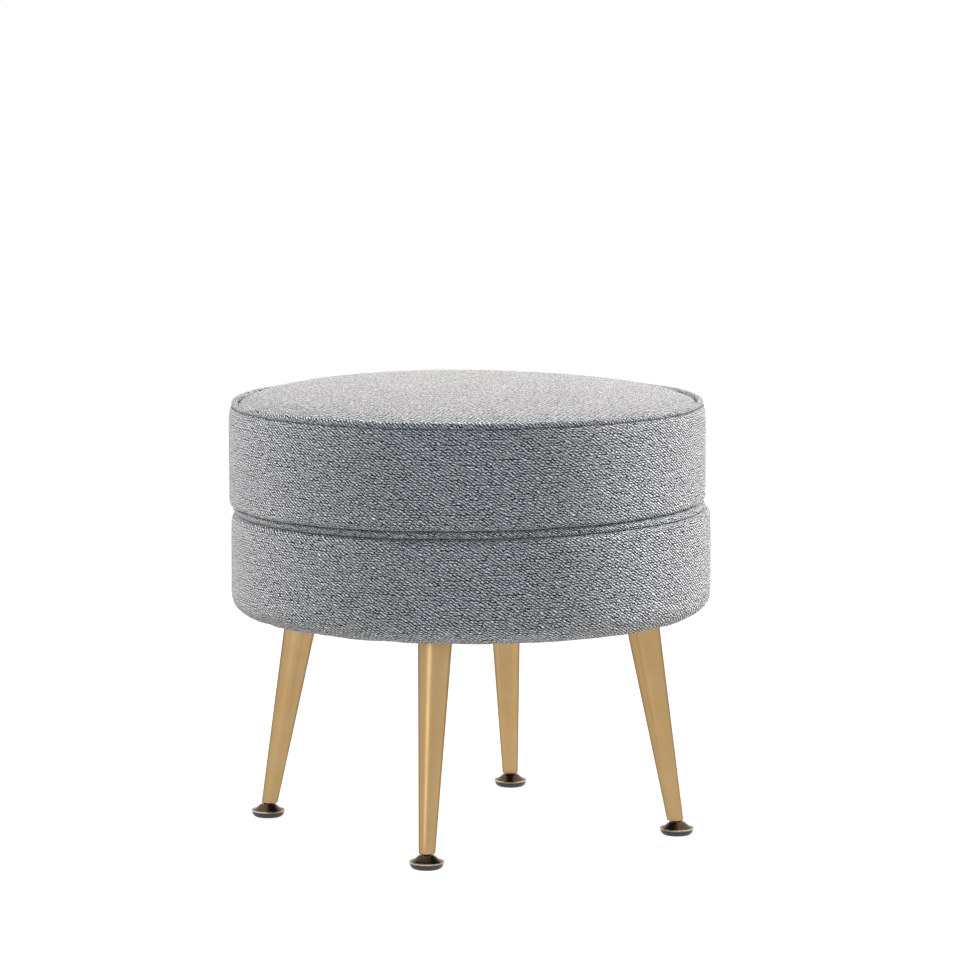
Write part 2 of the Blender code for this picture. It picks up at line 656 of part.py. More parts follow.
def add_legs(base, dust, steel):
    """Each leg hangs on two empties: one upright under its plate, one leaning along its axis."""
    brass = material("satin_brass", *SATIN_BRASS)
    antique = material("antique_brass", *ANTIQUE_BRASS)
    black = material("glide_black", *GLIDE_BLACK)
    screw_length = BASE_BOARD_BOTTOM + LEG_SCREW_BITE - LEG_TOP
    screw = turned(
        "leg_screw",
        fastener_profile(
            LEG_SCREW_RADIUS, screw_length, LEG_SCREW_HEAD_RADIUS, LEG_SCREW_HEAD_HEIGHT
        ),
        SCREW_SEGMENTS,
    )
    plate = disc("leg_plate", LEG_PLATE_BOTTOM, LEG_PLATE_TOP, LEG_PLATE_RADIUS, LEG_SEGMENTS)
    holes = screw_hole_mesh(screw_length)
    tube = leg_tube_mesh()
    insert = insert_mesh()
    stem = stem_mesh()
    cap = glide_cap_mesh()
    foot = glide_base_mesh()
    for index in range(LEG_COUNT):
        number = index + 1
        turn = (0.0, 0.0, quarter_turn(index))
        upright = empty(f"leg_mount_{number}", on_ring(LEG_RING, quarter_turn(index)), turn)
        made_plate = place(f"leg_plate_{number}", plate, steel, upright)
        tool = cutter(f"leg_screw_holes_{number}", holes, upright)
        for holed in (made_plate, dust, base):
            cut(holed, tool)
        for place_number, spot in enumerate(screw_spots(), 1):
            name = f"leg_screw_{number}_{place_number}"
            place(name, screw, steel, upright, spot, (0.0, 0.0, SCREW_TURN))

        ball = empty(
            f"glide_pivot_{number}", on_ring(BALL_RING, quarter_turn(index), BALL_HEIGHT), turn
        )
        leaning = empty(f"leg_axis_{number}", (0.0, 0.0, 0.0), (0.0, -LEG_SPLAY, 0.0), ball)
        place(f"leg_{number}", tube, brass, leaning)
        place(f"leg_insert_{number}", insert, steel, leaning)
        place(f"glide_stem_{number}", stem, antique, leaning)
        place(f"glide_cap_{number}", cap, antique, ball)
        place(f"glide_base_{number}", foot, black, ball)


for old in list(bpy.data.objects):
    bpy.data.objects.remove(old)
dust_cover = add_covers()
add_foam()
base_board, frame_ring, seat_board = add_frame()
zinc_steel = add_seat_bolts(frame_ring, seat_board)
add_legs(base_board, dust_cover, zinc_steel)
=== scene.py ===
import json
import math
from functools import partial

import bmesh
import bpy
from mathutils import Matrix, Vector, noise


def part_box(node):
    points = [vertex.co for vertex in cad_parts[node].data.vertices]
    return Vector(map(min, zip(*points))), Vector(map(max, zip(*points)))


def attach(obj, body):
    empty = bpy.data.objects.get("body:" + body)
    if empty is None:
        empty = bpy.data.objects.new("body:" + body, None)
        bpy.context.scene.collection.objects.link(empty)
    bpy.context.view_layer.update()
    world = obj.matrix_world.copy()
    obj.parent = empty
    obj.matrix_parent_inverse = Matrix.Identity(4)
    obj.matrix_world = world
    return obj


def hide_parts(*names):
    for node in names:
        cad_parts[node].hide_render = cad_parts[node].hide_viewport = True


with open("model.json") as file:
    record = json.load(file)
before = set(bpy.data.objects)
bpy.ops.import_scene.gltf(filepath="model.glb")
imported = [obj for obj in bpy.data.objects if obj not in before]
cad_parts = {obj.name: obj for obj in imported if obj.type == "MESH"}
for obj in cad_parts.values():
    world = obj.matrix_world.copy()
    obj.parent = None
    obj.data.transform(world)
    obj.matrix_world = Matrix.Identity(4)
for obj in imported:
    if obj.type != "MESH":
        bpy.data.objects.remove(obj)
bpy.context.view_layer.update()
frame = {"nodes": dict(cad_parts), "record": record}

# Studio: a white sweep under a broad softbox that hangs a little behind the ottoman, with a tall
# light at each side. A long lens looks at it from a little above the seat, past its front leg.
LENS = 160.7
SENSOR = 36.0
CAMERA_TURN = math.radians(11.54)
CAMERA_DISTANCE = 4.210
CAMERA_HEIGHT = 0.868
CAMERA_PITCH = math.radians(7.045)
CAMERA_YAW = math.radians(0.113)
CAMERA_ROLL = math.radians(0.20)
AMBIENT = 0.690
FLOOR_SIZE = 240.0
# The sweep lies a stem's travel and a foot's tilt lower, so that no foot goes through it at its limit
FLOOR_DROP = 0.012
FLOOR_GREY = 0.60
FLOOR_SHOWN = 0.10
FLOOR_GLOW = 0.935
LIGHT_TARGET = (0.0, 0.0, 0.3)
SKY_WHITE = (1.00, 1.00, 1.00)
BULB_WHITE = (1.00, 0.84, 0.76)
BULB_WARM = (1.00, 0.74, 0.57)
# Each light: name, place as right, towards the camera and up, width, height, watts, colour, and
# whether it lights matt surfaces, through a polariser that keeps it out of gloss, or is only mirrored
LIGHTS = (
    ("back_softbox", (0.30, -1.20, 2.50), 2.4, 1.2, 54.0, BULB_WARM, True),
    ("left_strip", (-1.98, -0.66, 1.60), 0.8, 1.4, 96.0, BULB_WHITE, True),
    ("right_strip", (1.98, -0.66, 1.60), 0.8, 1.4, 129.0, BULB_WHITE, True),
    ("front_gleam", (-1.12, 1.60, 0.40), 0.85, 0.8, 3.0, SKY_WHITE, False),
)


def add_node(tree, kind, inputs=None, **settings):
    """A node with its settings, and each input linked to a socket or set to a value."""
    made = tree.nodes.new(kind)
    for name, value in settings.items():
        setattr(made, name, value)
    for name, value in (inputs or {}).items():
        if isinstance(value, bpy.types.NodeSocket):
            tree.links.new(value, made.inputs[name])
        else:
            made.inputs[name].default_value = value
    return made


def calc(tree, operation, *values):
    made = add_node(tree, "ShaderNodeMath", dict(enumerate(values)), operation=operation)
    return made.outputs[0]


def seen_directly(tree):
    """1 for the rays that show a surface to the camera, also by gloss, and 0 for those that light."""
    path = add_node(tree, "ShaderNodeLightPath").outputs
    gloss = calc(tree, "ADD", path["Is Glossy Ray"], path["Is Transmission Ray"])
    return calc(tree, "MINIMUM", calc(tree, "ADD", path["Is Camera Ray"], gloss), 1.0)


def in_studio(right, near, up):
    """A place given from the camera's side, as a point in the ottoman's frame."""
    return Matrix.Rotation(CAMERA_TURN, 4, "Z") @ Vector((right, -near, up))


def put(name, data):
    made = bpy.data.objects.new(name, data)
    bpy.context.scene.collection.objects.link(made)
    return made


def mesh_from(bm, name):
    mesh = bpy.data.meshes.new(name)
    bm.to_mesh(mesh)
    bm.free()
    return mesh


def add_camera():
    camera = put("camera", bpy.data.cameras.new("camera"))
    camera.data.lens = LENS
    camera.data.sensor_width = SENSOR
    look = Matrix.Rotation(CAMERA_TURN - CAMERA_YAW, 4, "Z")
    look @= Matrix.Rotation(math.pi / 2 - CAMERA_PITCH, 4, "X")
    look @= Matrix.Rotation(CAMERA_ROLL, 4, "Z")
    spot = in_studio(0.0, CAMERA_DISTANCE, CAMERA_HEIGHT)
    camera.matrix_world = Matrix.Translation(spot) @ look
    bpy.context.scene.camera = camera


def add_lights():
    for name, place, width, height, watts, colour, on_matt in LIGHTS:
        data = bpy.data.lights.new(name, "AREA")
        data.shape = "RECTANGLE"
        data.size = width
        data.size_y = height
        data.energy = watts
        data.color = colour
        lamp = put(name, data)
        lamp.visible_camera = False
        lamp.visible_diffuse = on_matt
        lamp.visible_glossy = not on_matt
        lamp.location = in_studio(*place)
        aim = Vector(LIGHT_TARGET) - lamp.location
        lamp.rotation_euler = aim.to_track_quat("-Z", "Y").to_euler()


def add_surround():
    world = bpy.data.worlds.new("white_surround")
    world.use_nodes = True
    tree = world.node_tree
    sky = tree.nodes["Background"].inputs
    sky["Color"].default_value = (1.0, 1.0, 1.0, 1.0)
    strength = calc(tree, "MULTIPLY_ADD", seen_directly(tree), 1.0 - AMBIENT, AMBIENT)
    tree.links.new(strength, sky["Strength"])
    bpy.context.scene.world = world


def add_floor():
    bm = bmesh.new()
    drop = Matrix.Translation((0.0, 0.0, -FLOOR_DROP))
    bmesh.ops.create_grid(bm, x_segments=4, y_segments=4, size=FLOOR_SIZE / 2, matrix=drop)
    mesh = mesh_from(bm, "floor")
    paint = bpy.data.materials.new("white_sweep")
    paint.use_nodes = True
    tree = paint.node_tree
    shader = tree.nodes["Principled BSDF"]
    seen = seen_directly(tree)
    grey = calc(tree, "MULTIPLY_ADD", seen, FLOOR_SHOWN - FLOOR_GREY, FLOOR_GREY)
    tree.links.new(grey, shader.inputs["Base Color"])
    shader.inputs["Roughness"].default_value = 1.0
    shader.inputs["Specular IOR Level"].default_value = 0.0
    shader.inputs["Emission Color"].default_value = (1.0, 1.0, 1.0, 1.0)
    glow = calc(tree, "MULTIPLY", seen, FLOOR_GLOW)
    tree.links.new(glow, shader.inputs["Emission Strength"])
    clear = add_node(tree, "ShaderNodeBsdfTransparent").outputs["BSDF"]
    below = add_node(tree, "ShaderNodeNewGeometry").outputs["Backfacing"]
    both = add_node(tree, "ShaderNodeMixShader", {"Fac": below, 1: shader.outputs["BSDF"], 2: clear})
    tree.links.new(both.outputs["Shader"], tree.nodes["Material Output"].inputs["Surface"])
    mesh.materials.append(paint)
    put("floor", mesh)


add_camera()
add_lights()
add_surround()
add_floor()
bpy.context.scene.view_settings.view_transform = "Standard"

# Timber frame: plywood boards, ring and posts with a bent hardboard wall, glued and stapled.
# Four zinc-plated bolts pull the seat board down on the ring. The covers hide all of it.
PLY_LAYER = 0.0026
PLY_FACE = (0.560, 0.390, 0.220, 1.0)
PLY_CORE = (0.330, 0.200, 0.100, 1.0)
PLY_GRAIN = (4.0, 90.0, 90.0)
HARDBOARD = (0.240, 0.140, 0.075, 1.0)
HARDBOARD_FLECK = (0.330, 0.210, 0.120, 1.0)
HARDBOARD_GRAIN = 700.0
ZINC = (0.580, 0.590, 0.600, 1.0)
ZINC_BLUE = (0.480, 0.520, 0.580, 1.0)


def new_finish(name, roughness, metallic=0.0, **fixed):
    """A material, its nodes and its shader, with the values that are the same all over."""
    made = bpy.data.materials.new(name)
    made.use_nodes = True
    shader = made.node_tree.nodes["Principled BSDF"]
    shader.inputs["Roughness"].default_value = roughness
    shader.inputs["Metallic"].default_value = metallic
    for socket, value in fixed.items():
        shader.inputs[socket.replace("_", " ")].default_value = value
    return made, made.node_tree, shader.inputs


def effect_group(name, inputs, outputs):
    """An empty shader node group with named sockets, and the sockets at its two ends."""
    tree = bpy.data.node_groups.new(name, "ShaderNodeTree")
    for socket, kind in inputs.items():
        tree.interface.new_socket(socket, in_out="INPUT", socket_type="NodeSocket" + kind)
    for socket, kind in outputs.items():
        tree.interface.new_socket(socket, in_out="OUTPUT", socket_type="NodeSocket" + kind)
    given = add_node(tree, "NodeGroupInput").outputs
    return tree, given, add_node(tree, "NodeGroupOutput").inputs


def mix_color(tree, share, first, second):
    made = add_node(tree, "ShaderNodeMix", {0: share, 6: first, 7: second}, data_type="RGBA")
    return made.outputs[2]


def remap(tree, value, low, high, to_low=0.0, to_high=1.0):
    made = add_node(tree, "ShaderNodeMapRange", {0: value, 1: low, 2: high, 3: to_low, 4: to_high})
    return made.outputs[0]


def grain(tree, vector, scale, detail=2.0):
    made = add_node(tree, "ShaderNodeTexNoise", {"Vector": vector, "Scale": scale, "Detail": detail})
    return made.outputs["Fac"]


def stretched(tree, vector, by):
    made = add_node(tree, "ShaderNodeVectorMath", {0: vector, 1: by}, operation="MULTIPLY")
    return made.outputs["Vector"]


def two_tones(tree, shader, share, first, second):
    """Colours a finish between two tones, by a share that changes over the surface."""
    tree.links.new(mix_color(tree, share, first, second), shader["Base Color"])


def place_in_piece(tree):
    return add_node(tree, "ShaderNodeTexCoord").outputs["Object"]


def set_bump(tree, shader, height, depth):
    made = add_node(tree, "ShaderNodeBump", {"Height": height, "Distance": depth})
    tree.links.new(made.outputs["Normal"], shader["Normal"])


def worked_metal():
    """Metal as it comes from the shop: fine lines along the piece and cloudy changes of tone."""
    tree, given, result = effect_group(
        "worked_metal",
        {
            "Place": "Vector",
            "Line Stretch": "Vector",
            "Metal": "Color",
            "Cloud": "Color",
            "Smooth": "Float",
            "Rough": "Float",
        },
        {"Color": "Color", "Roughness": "Float", "Height": "Float"},
    )
    lines = grain(tree, stretched(tree, given["Place"], given["Line Stretch"]), 1.0)
    clouds = remap(tree, grain(tree, given["Place"], 28.0, 3.0), 0.35, 0.70)
    tree.links.new(mix_color(tree, clouds, given["Metal"], given["Cloud"]), result["Color"])
    tree.links.new(remap(tree, lines, 0.3, 0.7, given["Smooth"], given["Rough"]), result["Roughness"])
    tree.links.new(lines, result["Height"])
    return tree


def metal_finish(name, metal, cloud, lines, smooth, rough, depth, painted_edge_shade=(1.0, 1.0, 1.0, 1.0)):
    # The tint at grazing angles, when dark, paints shade on the metal's edges in place of dark
    # surroundings seen in reflection
    made, tree, shader = new_finish(name, smooth, 1.0, Specular_Tint=painted_edge_shade)
    worn = add_node(
        tree,
        "ShaderNodeGroup",
        {
            "Place": place_in_piece(tree),
            "Line Stretch": lines,
            "Metal": metal,
            "Cloud": cloud,
            "Smooth": smooth,
            "Rough": rough,
        },
        node_tree=metal_group,
    ).outputs
    tree.links.new(worn["Color"], shader["Base Color"])
    tree.links.new(worn["Roughness"], shader["Roughness"])
    set_bump(tree, shader, worn["Height"], depth)
    return made, tree, shader, worn


def plywood_finish():
    made, tree, shader = new_finish("plywood", 0.62)
    place = place_in_piece(tree)
    height = add_node(tree, "ShaderNodeSeparateXYZ", {0: place}).outputs["Z"]
    layer = calc(tree, "PINGPONG", height, PLY_LAYER)
    stripe = remap(tree, layer, PLY_LAYER * 0.45, PLY_LAYER * 0.55)
    facing = add_node(tree, "ShaderNodeNewGeometry").outputs["Normal"]
    upright = add_node(tree, "ShaderNodeSeparateXYZ", {0: facing}).outputs["Z"]
    edge = calc(tree, "LESS_THAN", calc(tree, "ABSOLUTE", upright), 0.5)
    streaks = grain(tree, stretched(tree, place, PLY_GRAIN), 1.0, 4.0)
    dark = calc(tree, "MULTIPLY_ADD", edge, calc(tree, "MULTIPLY", stripe, 0.6), streaks)
    two_tones(tree, shader, calc(tree, "SUBTRACT", dark, 0.2), PLY_FACE, PLY_CORE)
    set_bump(tree, shader, streaks, 0.0002)
    return made


def hardboard_finish():
    made, tree, shader = new_finish("hardboard", 0.55)
    fibres = grain(tree, place_in_piece(tree), HARDBOARD_GRAIN, 3.0)
    two_tones(tree, shader, fibres, HARDBOARD, HARDBOARD_FLECK)
    set_bump(tree, shader, fibres, 0.0001)
    return made


def repaint(names, finish):
    for name in names:
        frame["nodes"][name].data.materials.clear()
        frame["nodes"][name].data.materials.append(finish)


metal_group = worked_metal()
zinc = metal_finish("zinc_plate", ZINC, ZINC_BLUE, (160.0, 160.0, 160.0), 0.26, 0.42, 0.00002)[0]
posts = [f"post_{number}" for number in range(1, 5)]
bolts = [f"seat_bolt_{number}" for number in range(1, 5)]
repaint(["base_board", "frame_ring", "seat_board", *posts], plywood_finish())
repaint(["side_wall"], hardboard_finish())
repaint(bolts, zinc)

# Foam: a crowned seat cushion glued on the seat board, and a wrap round the wall of the base.
# Both are cut from cream upholstery foam, and pressed in a little where the welts are sewn.
FOAM_CREAM = (0.780, 0.700, 0.520, 1.0)
FOAM_YELLOW = (0.700, 0.560, 0.330, 1.0)
FOAM_CELL = 900.0
CLOTH_THICKNESS = 0.0012
FOAM_INSET = CLOTH_THICKNESS + 0.0006
FOAM_GAP = 0.0004
FOAM_SINK = 0.0008
WELT_RELIEF = 0.0040
WAIST_PLUMP = 0.0004
CREASE_ANGLE = math.radians(88.0)
UPPER_FULL = 0.0370
LOWER_FULL = 0.0480
TOP_DRAW = 0.0020
TOP_DRAW_POWER = 12.0
WAIST_DRAW_POWER = 32.0
ROLL_WIDTH = 0.0340
ROLL_HEIGHT = 0.0215
ROLL_SQUARENESS = 2.2
CROWN_POWER = 3.1
CROWN_SINK = 0.0008
RIM_REACH = 0.0014
EDGE_TURN = 0.0012
EDGE_ROLL = 0.0038
EDGE_ROLL_WIDTH = 0.0300
UNEVEN = 0.0005
UNEVEN_SIZE = 0.09
SEAM_WAVE = 0.0004
SEAM_WAVE_SIZE = 0.04
TURNS = 240

drum_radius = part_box("lower_band")[1].x
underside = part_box("lower_band")[0].z
upper_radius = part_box("upper_band")[1].x
upper_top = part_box("upper_band")[1].z
waist = (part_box("upper_band")[0].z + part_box("lower_band")[1].z) / 2
waist_lo, waist_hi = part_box("waist_welt")
waist_ring = waist_hi.x - (waist_hi.z - waist_lo.z) / 2 + WAIST_PLUMP
waist_cord = (waist_hi.z - waist_lo.z) / 2 + WAIST_PLUMP
top_lo, top_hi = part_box("top_welt")
top_cord = (top_hi.z - top_lo.z) / 2
top_ring = top_hi.x - top_cord
top_z = (top_hi.z + top_lo.z) / 2
panel_lo, panel_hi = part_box("top_panel")
crown_top = panel_hi.z - CROWN_SINK
rim_radius = panel_hi.x + RIM_REACH
flat_edge = rim_radius - EDGE_TURN
rim_z = panel_lo.z + CLOTH_THICKNESS
dust_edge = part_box("dust_cover")[1].x
# How far each level of the covers tips up at the camera's right and lies to its left
LEVELS = (
    (underside, 0.55, 0.0000),
    (waist - waist_cord, 0.90, 0.0006),
    (waist + waist_cord, 0.90, 0.0040),
    (top_z, 0.40, 0.0046),
    (crown_top, -0.40, 0.0046),
)


def smooth_step(value):
    held = min(max(value, 0.0), 1.0)
    return held * held * (3.0 - 2.0 * held)


def handmade(point):
    """How the upholsterer's work sits: the seat leans and lies a touch to one side, a bit uneven."""
    right = in_studio(1.0, 0.0, 0.0)
    lean, shift = LEVELS[0][1:]
    for low, high in zip(LEVELS, LEVELS[1:]):
        part = min(max((point.z - low[0]) / (high[0] - low[0]), 0.0), 1.0)
        lean += (high[1] - low[1]) * part
        shift += (high[2] - low[2]) * part
    share = smooth_step((point.z - underside) / (waist - underside))
    edge = 1.0
    if point.z < waist:
        edge = smooth_step((point.xy.length - dust_edge) / (drum_radius - dust_edge))
    moved = point.copy()
    moved.z += math.tan(math.radians(lean)) * point.dot(right) * edge
    moved -= right * shift
    outward = Vector((point.x, point.y, 0.0))
    if outward.length > 0.0:
        outward.normalize()
    moved += outward * (UNEVEN * share * noise.noise(point / UNEVEN_SIZE))
    moved.z += SEAM_WAVE * share * noise.noise(point / SEAM_WAVE_SIZE)
    return moved


def settle(mesh):
    for vertex in mesh.vertices:
        vertex.co = handmade(vertex.co)


def curve(centre, width, height, start, end, steps):
    """Points on an ellipse between two angles, both ends included."""
    angles = [start + (end - start) * step / steps for step in range(steps + 1)]
    return [(centre[0] + width * math.cos(a), centre[1] + height * math.sin(a)) for a in angles]


def waist_crease(sign):
    return (
        waist_ring + waist_cord * math.cos(CREASE_ANGLE),
        waist + sign * waist_cord * math.sin(CREASE_ANGLE),
    )


def drawn_side(radius, full_z, sign, inset, steps):
    """The side of a tier from its fullest height to the waist crease."""
    crease_radius, crease_z = waist_crease(sign)
    points = []
    for step in range(steps + 1):
        share = 1.0 - (1.0 - step / steps) ** 1.6
        drawn = (radius - crease_radius) * share**WAIST_DRAW_POWER
        height = full_z + (crease_z + sign * inset - full_z) * share
        points.append((radius - drawn - inset, height))
    return points


def lower_outline(inset):
    """The lower tier's outside, from under the base board up to the waist crease."""
    roll_z = underside + ROLL_HEIGHT
    roll = []
    for angle in [math.pi / 2 * step / 12 for step in range(13)]:
        out = math.sin(angle) ** (2.0 / ROLL_SQUARENESS)
        down = math.cos(angle) ** (2.0 / ROLL_SQUARENESS)
        radius = drum_radius - ROLL_WIDTH + (ROLL_WIDTH - inset) * out
        roll.append((radius, roll_z - (ROLL_HEIGHT - inset) * down))
    full_z = waist - LOWER_FULL
    side = [(drum_radius - inset, roll_z + (full_z - roll_z) * step / 5) for step in range(1, 5)]
    return roll + side + drawn_side(drum_radius, full_z, -1, inset, 11)


def upper_outline(inset):
    """The upper tier's outside, from the waist crease up to the top welt."""
    full_z = waist + UPPER_FULL
    side = drawn_side(upper_radius, full_z, 1, inset, 10)[::-1]
    for step in range(1, 10):
        share = 1.0 - (1.0 - step / 9) ** 1.5
        drawn = TOP_DRAW * share**TOP_DRAW_POWER
        side.append((upper_radius - drawn - inset, full_z + (upper_top - full_z) * share))
    return side


def crown_height(radius):
    """The seat's top by radius: a flat crown that rolls down beside the welt."""
    rise = (crown_top - rim_z) * (1.0 - min(radius / rim_radius, 1.0) ** CROWN_POWER)
    near_edge = max(1.0 - (rim_radius - radius) / EDGE_ROLL_WIDTH, 0.0)
    return rim_z + rise - EDGE_ROLL * near_edge**2


def turned(name, profile, turns=TURNS, closed=True, sharp=40.0):
    """A mesh turned round Z from points of radius and height that run up its outer side."""
    bm = bmesh.new()
    rings = []
    for radius, height in profile:
        if radius < 1e-7:
            rings.append([bm.verts.new((0.0, 0.0, height))] * turns)
            continue
        ring = []
        for turn in range(turns):
            angle = math.tau * turn / turns
            ring.append(bm.verts.new((radius * math.cos(angle), radius * math.sin(angle), height)))
        rings.append(ring)
    pairs = list(zip(rings, rings[1:]))
    if closed:
        pairs.append((rings[-1], rings[0]))
    for low, high in pairs:
        for turn in range(turns):
            after = (turn + 1) % turns
            corners = [low[turn], low[after], high[after], high[turn]]
            corners = list(dict.fromkeys(corners))
            if len(corners) > 2:
                bm.faces.new(corners)
    mesh = mesh_from(bm, name)
    mesh.shade_smooth()
    mesh.set_sharp_from_angle(angle=math.radians(sharp))
    return mesh


def dress(name, mesh, finish, body, slot, *nodes, at=Matrix()):
    """Puts a finished piece in the scene, on its body and in place of its plain solids."""
    if not mesh.materials:
        mesh.materials.append(finish)
    piece = put(name, mesh)
    piece.matrix_world = at
    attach(piece, body)
    if nodes:
        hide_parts(*nodes)
    return piece


def foam_finish():
    made, tree, shader = new_finish("cut_foam", 0.95)
    place = place_in_piece(tree)
    cells = grain(tree, place, FOAM_CELL, 1.0)
    aged = remap(tree, grain(tree, place, 14.0), 0.35, 0.75)
    two_tones(tree, shader, aged, FOAM_CREAM, FOAM_YELLOW)
    set_bump(tree, shader, cells, 0.0008)
    return made


def add_foam():
    foam = foam_finish()
    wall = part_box("side_wall")[1].x + FOAM_GAP
    ring_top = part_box("frame_ring")[1].z
    wrap = [point for point in lower_outline(FOAM_INSET) if point[0] > wall]
    wrap = [(wall, wrap[0][1])] + wrap + [(wall, ring_top)]
    mesh = turned("base_wrap_foam", wrap)
    settle(mesh)
    dress("base_wrap_foam", mesh, foam, "frame", "foam", "lower_foam")

    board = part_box("seat_board")[1]
    edge = board.x + FOAM_GAP
    seat_z = board.z + FOAM_GAP
    side = [point for point in upper_outline(FOAM_INSET) if point[1] < upper_top - WELT_RELIEF]
    cushion = [(0.0, seat_z), (edge, seat_z), (edge, side[0][1])] + side
    cushion.append((top_ring - top_cord, upper_top - WELT_RELIEF / 2))
    top_edge = flat_edge - FOAM_INSET
    for step in range(17):
        radius = top_edge * (1.0 - step / 16) ** 0.8
        sink = FOAM_INSET + FOAM_SINK * (radius / top_edge) ** 4
        cushion.append((radius, crown_height(radius) - sink))
    mesh = turned("seat_cushion_foam", cushion, closed=False)
    settle(mesh)
    dress("seat_cushion_foam", mesh, foam, "frame", "foam", "seat_foam")


add_foam()

# Cover cloth: a heathered grey twill, light warp yarns over dark weft in a four-yarn repeat, so
# that pale diagonal ribs run down to the right. Its short fibres catch light at a low angle.
WARP_PITCH = 0.00119
WEFT_PITCH = 0.00078
REPEAT = 4.0
WANDER = 3.0
WANDER_SIZE = 170.0
WANDER_DETAIL = 1.5
DASH_LENGTH = 5.0
WARP_TONE = 0.97
WARP_UNEVEN = 0.20
WEFT_TONE = (0.00, 0.30)
HEATHER_STRETCH = (40.0, 260.0, 1.0)
HEATHER = 0.06
SLUB_LENGTH = 4.0
SLUB = 1.20
SPECK = 0.50
RIB_RISE = 2.0
LIGHT_YARN = (0.705, 0.822, 0.905, 1.0)
DARK_YARN = (0.010, 0.014, 0.018, 1.0)
WEAVE_DEPTH = 0.0003
CLOTH_GLOSS = 0.05


def twill_weave():
    """Colour, with painted shade where the yarns dip, and height of a 2/2 twill, from a place on the
    flat cloth in metres.
    """
    tree, given, result = effect_group(
        "twill_weave",
        {"Cloth": "Vector", "Light": "Color", "Dark": "Color"},
        {"Color": "Color", "Height": "Float"},
    )
    work = partial(calc, tree)
    wander = add_node(
        tree,
        "ShaderNodeTexNoise",
        {"Vector": given["Cloth"], "Scale": WANDER_SIZE, "Detail": WANDER_DETAIL},
        noise_dimensions="2D",
    )
    shift = add_node(tree, "ShaderNodeSeparateColor", {0: wander.outputs["Color"]}).outputs
    across, along = add_node(tree, "ShaderNodeSeparateXYZ", {0: given["Cloth"]}).outputs[:2]
    across = work("MULTIPLY_ADD", shift[0], WANDER, work("DIVIDE", across, WARP_PITCH))
    along = work("MULTIPLY_ADD", shift[1], WANDER, work("DIVIDE", along, WEFT_PITCH))
    warp, weft = work("FLOOR", across), work("FLOOR", along)
    in_warp, in_weft = work("FRACT", across), work("FRACT", along)

    def chance(first, second):
        """A random value for each pair of whole numbers."""
        pair = add_node(tree, "ShaderNodeCombineXYZ", {0: first, 1: second}).outputs[0]
        made = add_node(tree, "ShaderNodeTexWhiteNoise", {"Vector": pair}, noise_dimensions="2D")
        return made.outputs["Value"]

    def ridge(inside, float_place):
        """Height of a yarn: round across, and arched along the stretch where it lies on top."""
        cross = work("SINE", work("MULTIPLY", inside, math.pi))
        arch = work("SINE", work("MULTIPLY", float_place, math.pi / 2))
        return work("MULTIPLY", work("MULTIPLY_ADD", arch, 0.5, 0.5), cross)

    slope = work("ADD", warp, weft)
    step = work("FLOORED_MODULO", slope, REPEAT)
    warp_over = work("LESS_THAN", step, REPEAT / 2)

    def paired(index, other):
        """A random value for each pair of neighbours: one gets as much as the other loses."""
        half = work("FLOOR", work("DIVIDE", index, 2.0))
        sign = work("SUBTRACT", work("MULTIPLY_ADD", half, 4.0, 1.0), work("MULTIPLY", index, 2.0))
        return work("MULTIPLY", sign, chance(half, other))

    # Yarns are spun unevenly, so each rib of the twill breaks into lighter and darker dashes
    rib = work("FLOOR", work("DIVIDE", slope, REPEAT))
    lead = work("DIVIDE", work("SUBTRACT", warp, weft), DASH_LENGTH)
    dash = work("FLOOR", work("MULTIPLY_ADD", chance(rib, 0.5), 5.0, lead))
    uneven = work("ADD", paired(dash, rib), paired(warp, rib))
    warp_tone = work("MULTIPLY_ADD", uneven, WARP_UNEVEN, WARP_TONE)
    weft_tone = remap(tree, chance(weft, rib), 0.0, 1.0, *WEFT_TONE)
    warp_ridge = ridge(in_warp, work("ADD", step, in_weft))
    weft_ridge = ridge(in_weft, work("ADD", work("SUBTRACT", step, 2.0), in_warp))
    height = add_node(tree, "ShaderNodeMix", {0: warp_over, 2: weft_ridge, 3: warp_ridge}).outputs[0]
    tone = add_node(tree, "ShaderNodeMix", {0: warp_over, 2: weft_tone, 3: warp_tone}).outputs[0]
    streaks = grain(tree, stretched(tree, given["Cloth"], HEATHER_STRETCH), 1.0)
    heather = remap(tree, streaks, 0.3, 0.7, 1.0 - HEATHER, 1.0 + HEATHER)
    # Each yarn's tone is darkened by its height: painted shade where the yarns dip at their edges and
    # pass under their neighbours
    tone_with_painted_shade = work("MULTIPLY", tone, work("MULTIPLY_ADD", height, 0.5, 0.5))
    tone_with_painted_shade = work("MULTIPLY", tone_with_painted_shade, heather)

    # Thick and thin stretches of the weft make short level streaks, and loose fibres make specks
    bundle = work("FLOOR", work("DIVIDE", weft, 3.0))
    side = work("SUBTRACT", work("MULTIPLY_ADD", bundle, 3.0, 1.0), weft)
    lead = work("DIVIDE", warp, SLUB_LENGTH)
    stretch = work("FLOOR", work("MULTIPLY_ADD", chance(bundle, 0.5), 5.0, lead))
    slub = work("MULTIPLY", side, work("MULTIPLY", chance(bundle, stretch), SLUB))
    speck = work("MULTIPLY_ADD", paired(weft, warp), SPECK, 1.0)
    tone_with_painted_shade = work("MULTIPLY", work("MULTIPLY_ADD", tone_with_painted_shade, slub, tone_with_painted_shade), speck)

    # The stout warp stands proud, so the ribs themselves are raised
    diagonal = work("SUBTRACT", work("ADD", across, along), 1.5)
    rib_wave = work("COSINE", work("MULTIPLY", diagonal, math.tau / REPEAT))
    height = work("MULTIPLY_ADD", rib_wave, RIB_RISE, height)
    tree.links.new(mix_color(tree, tone_with_painted_shade, given["Dark"], given["Light"]), result["Color"])
    tree.links.new(height, result["Height"])
    return tree


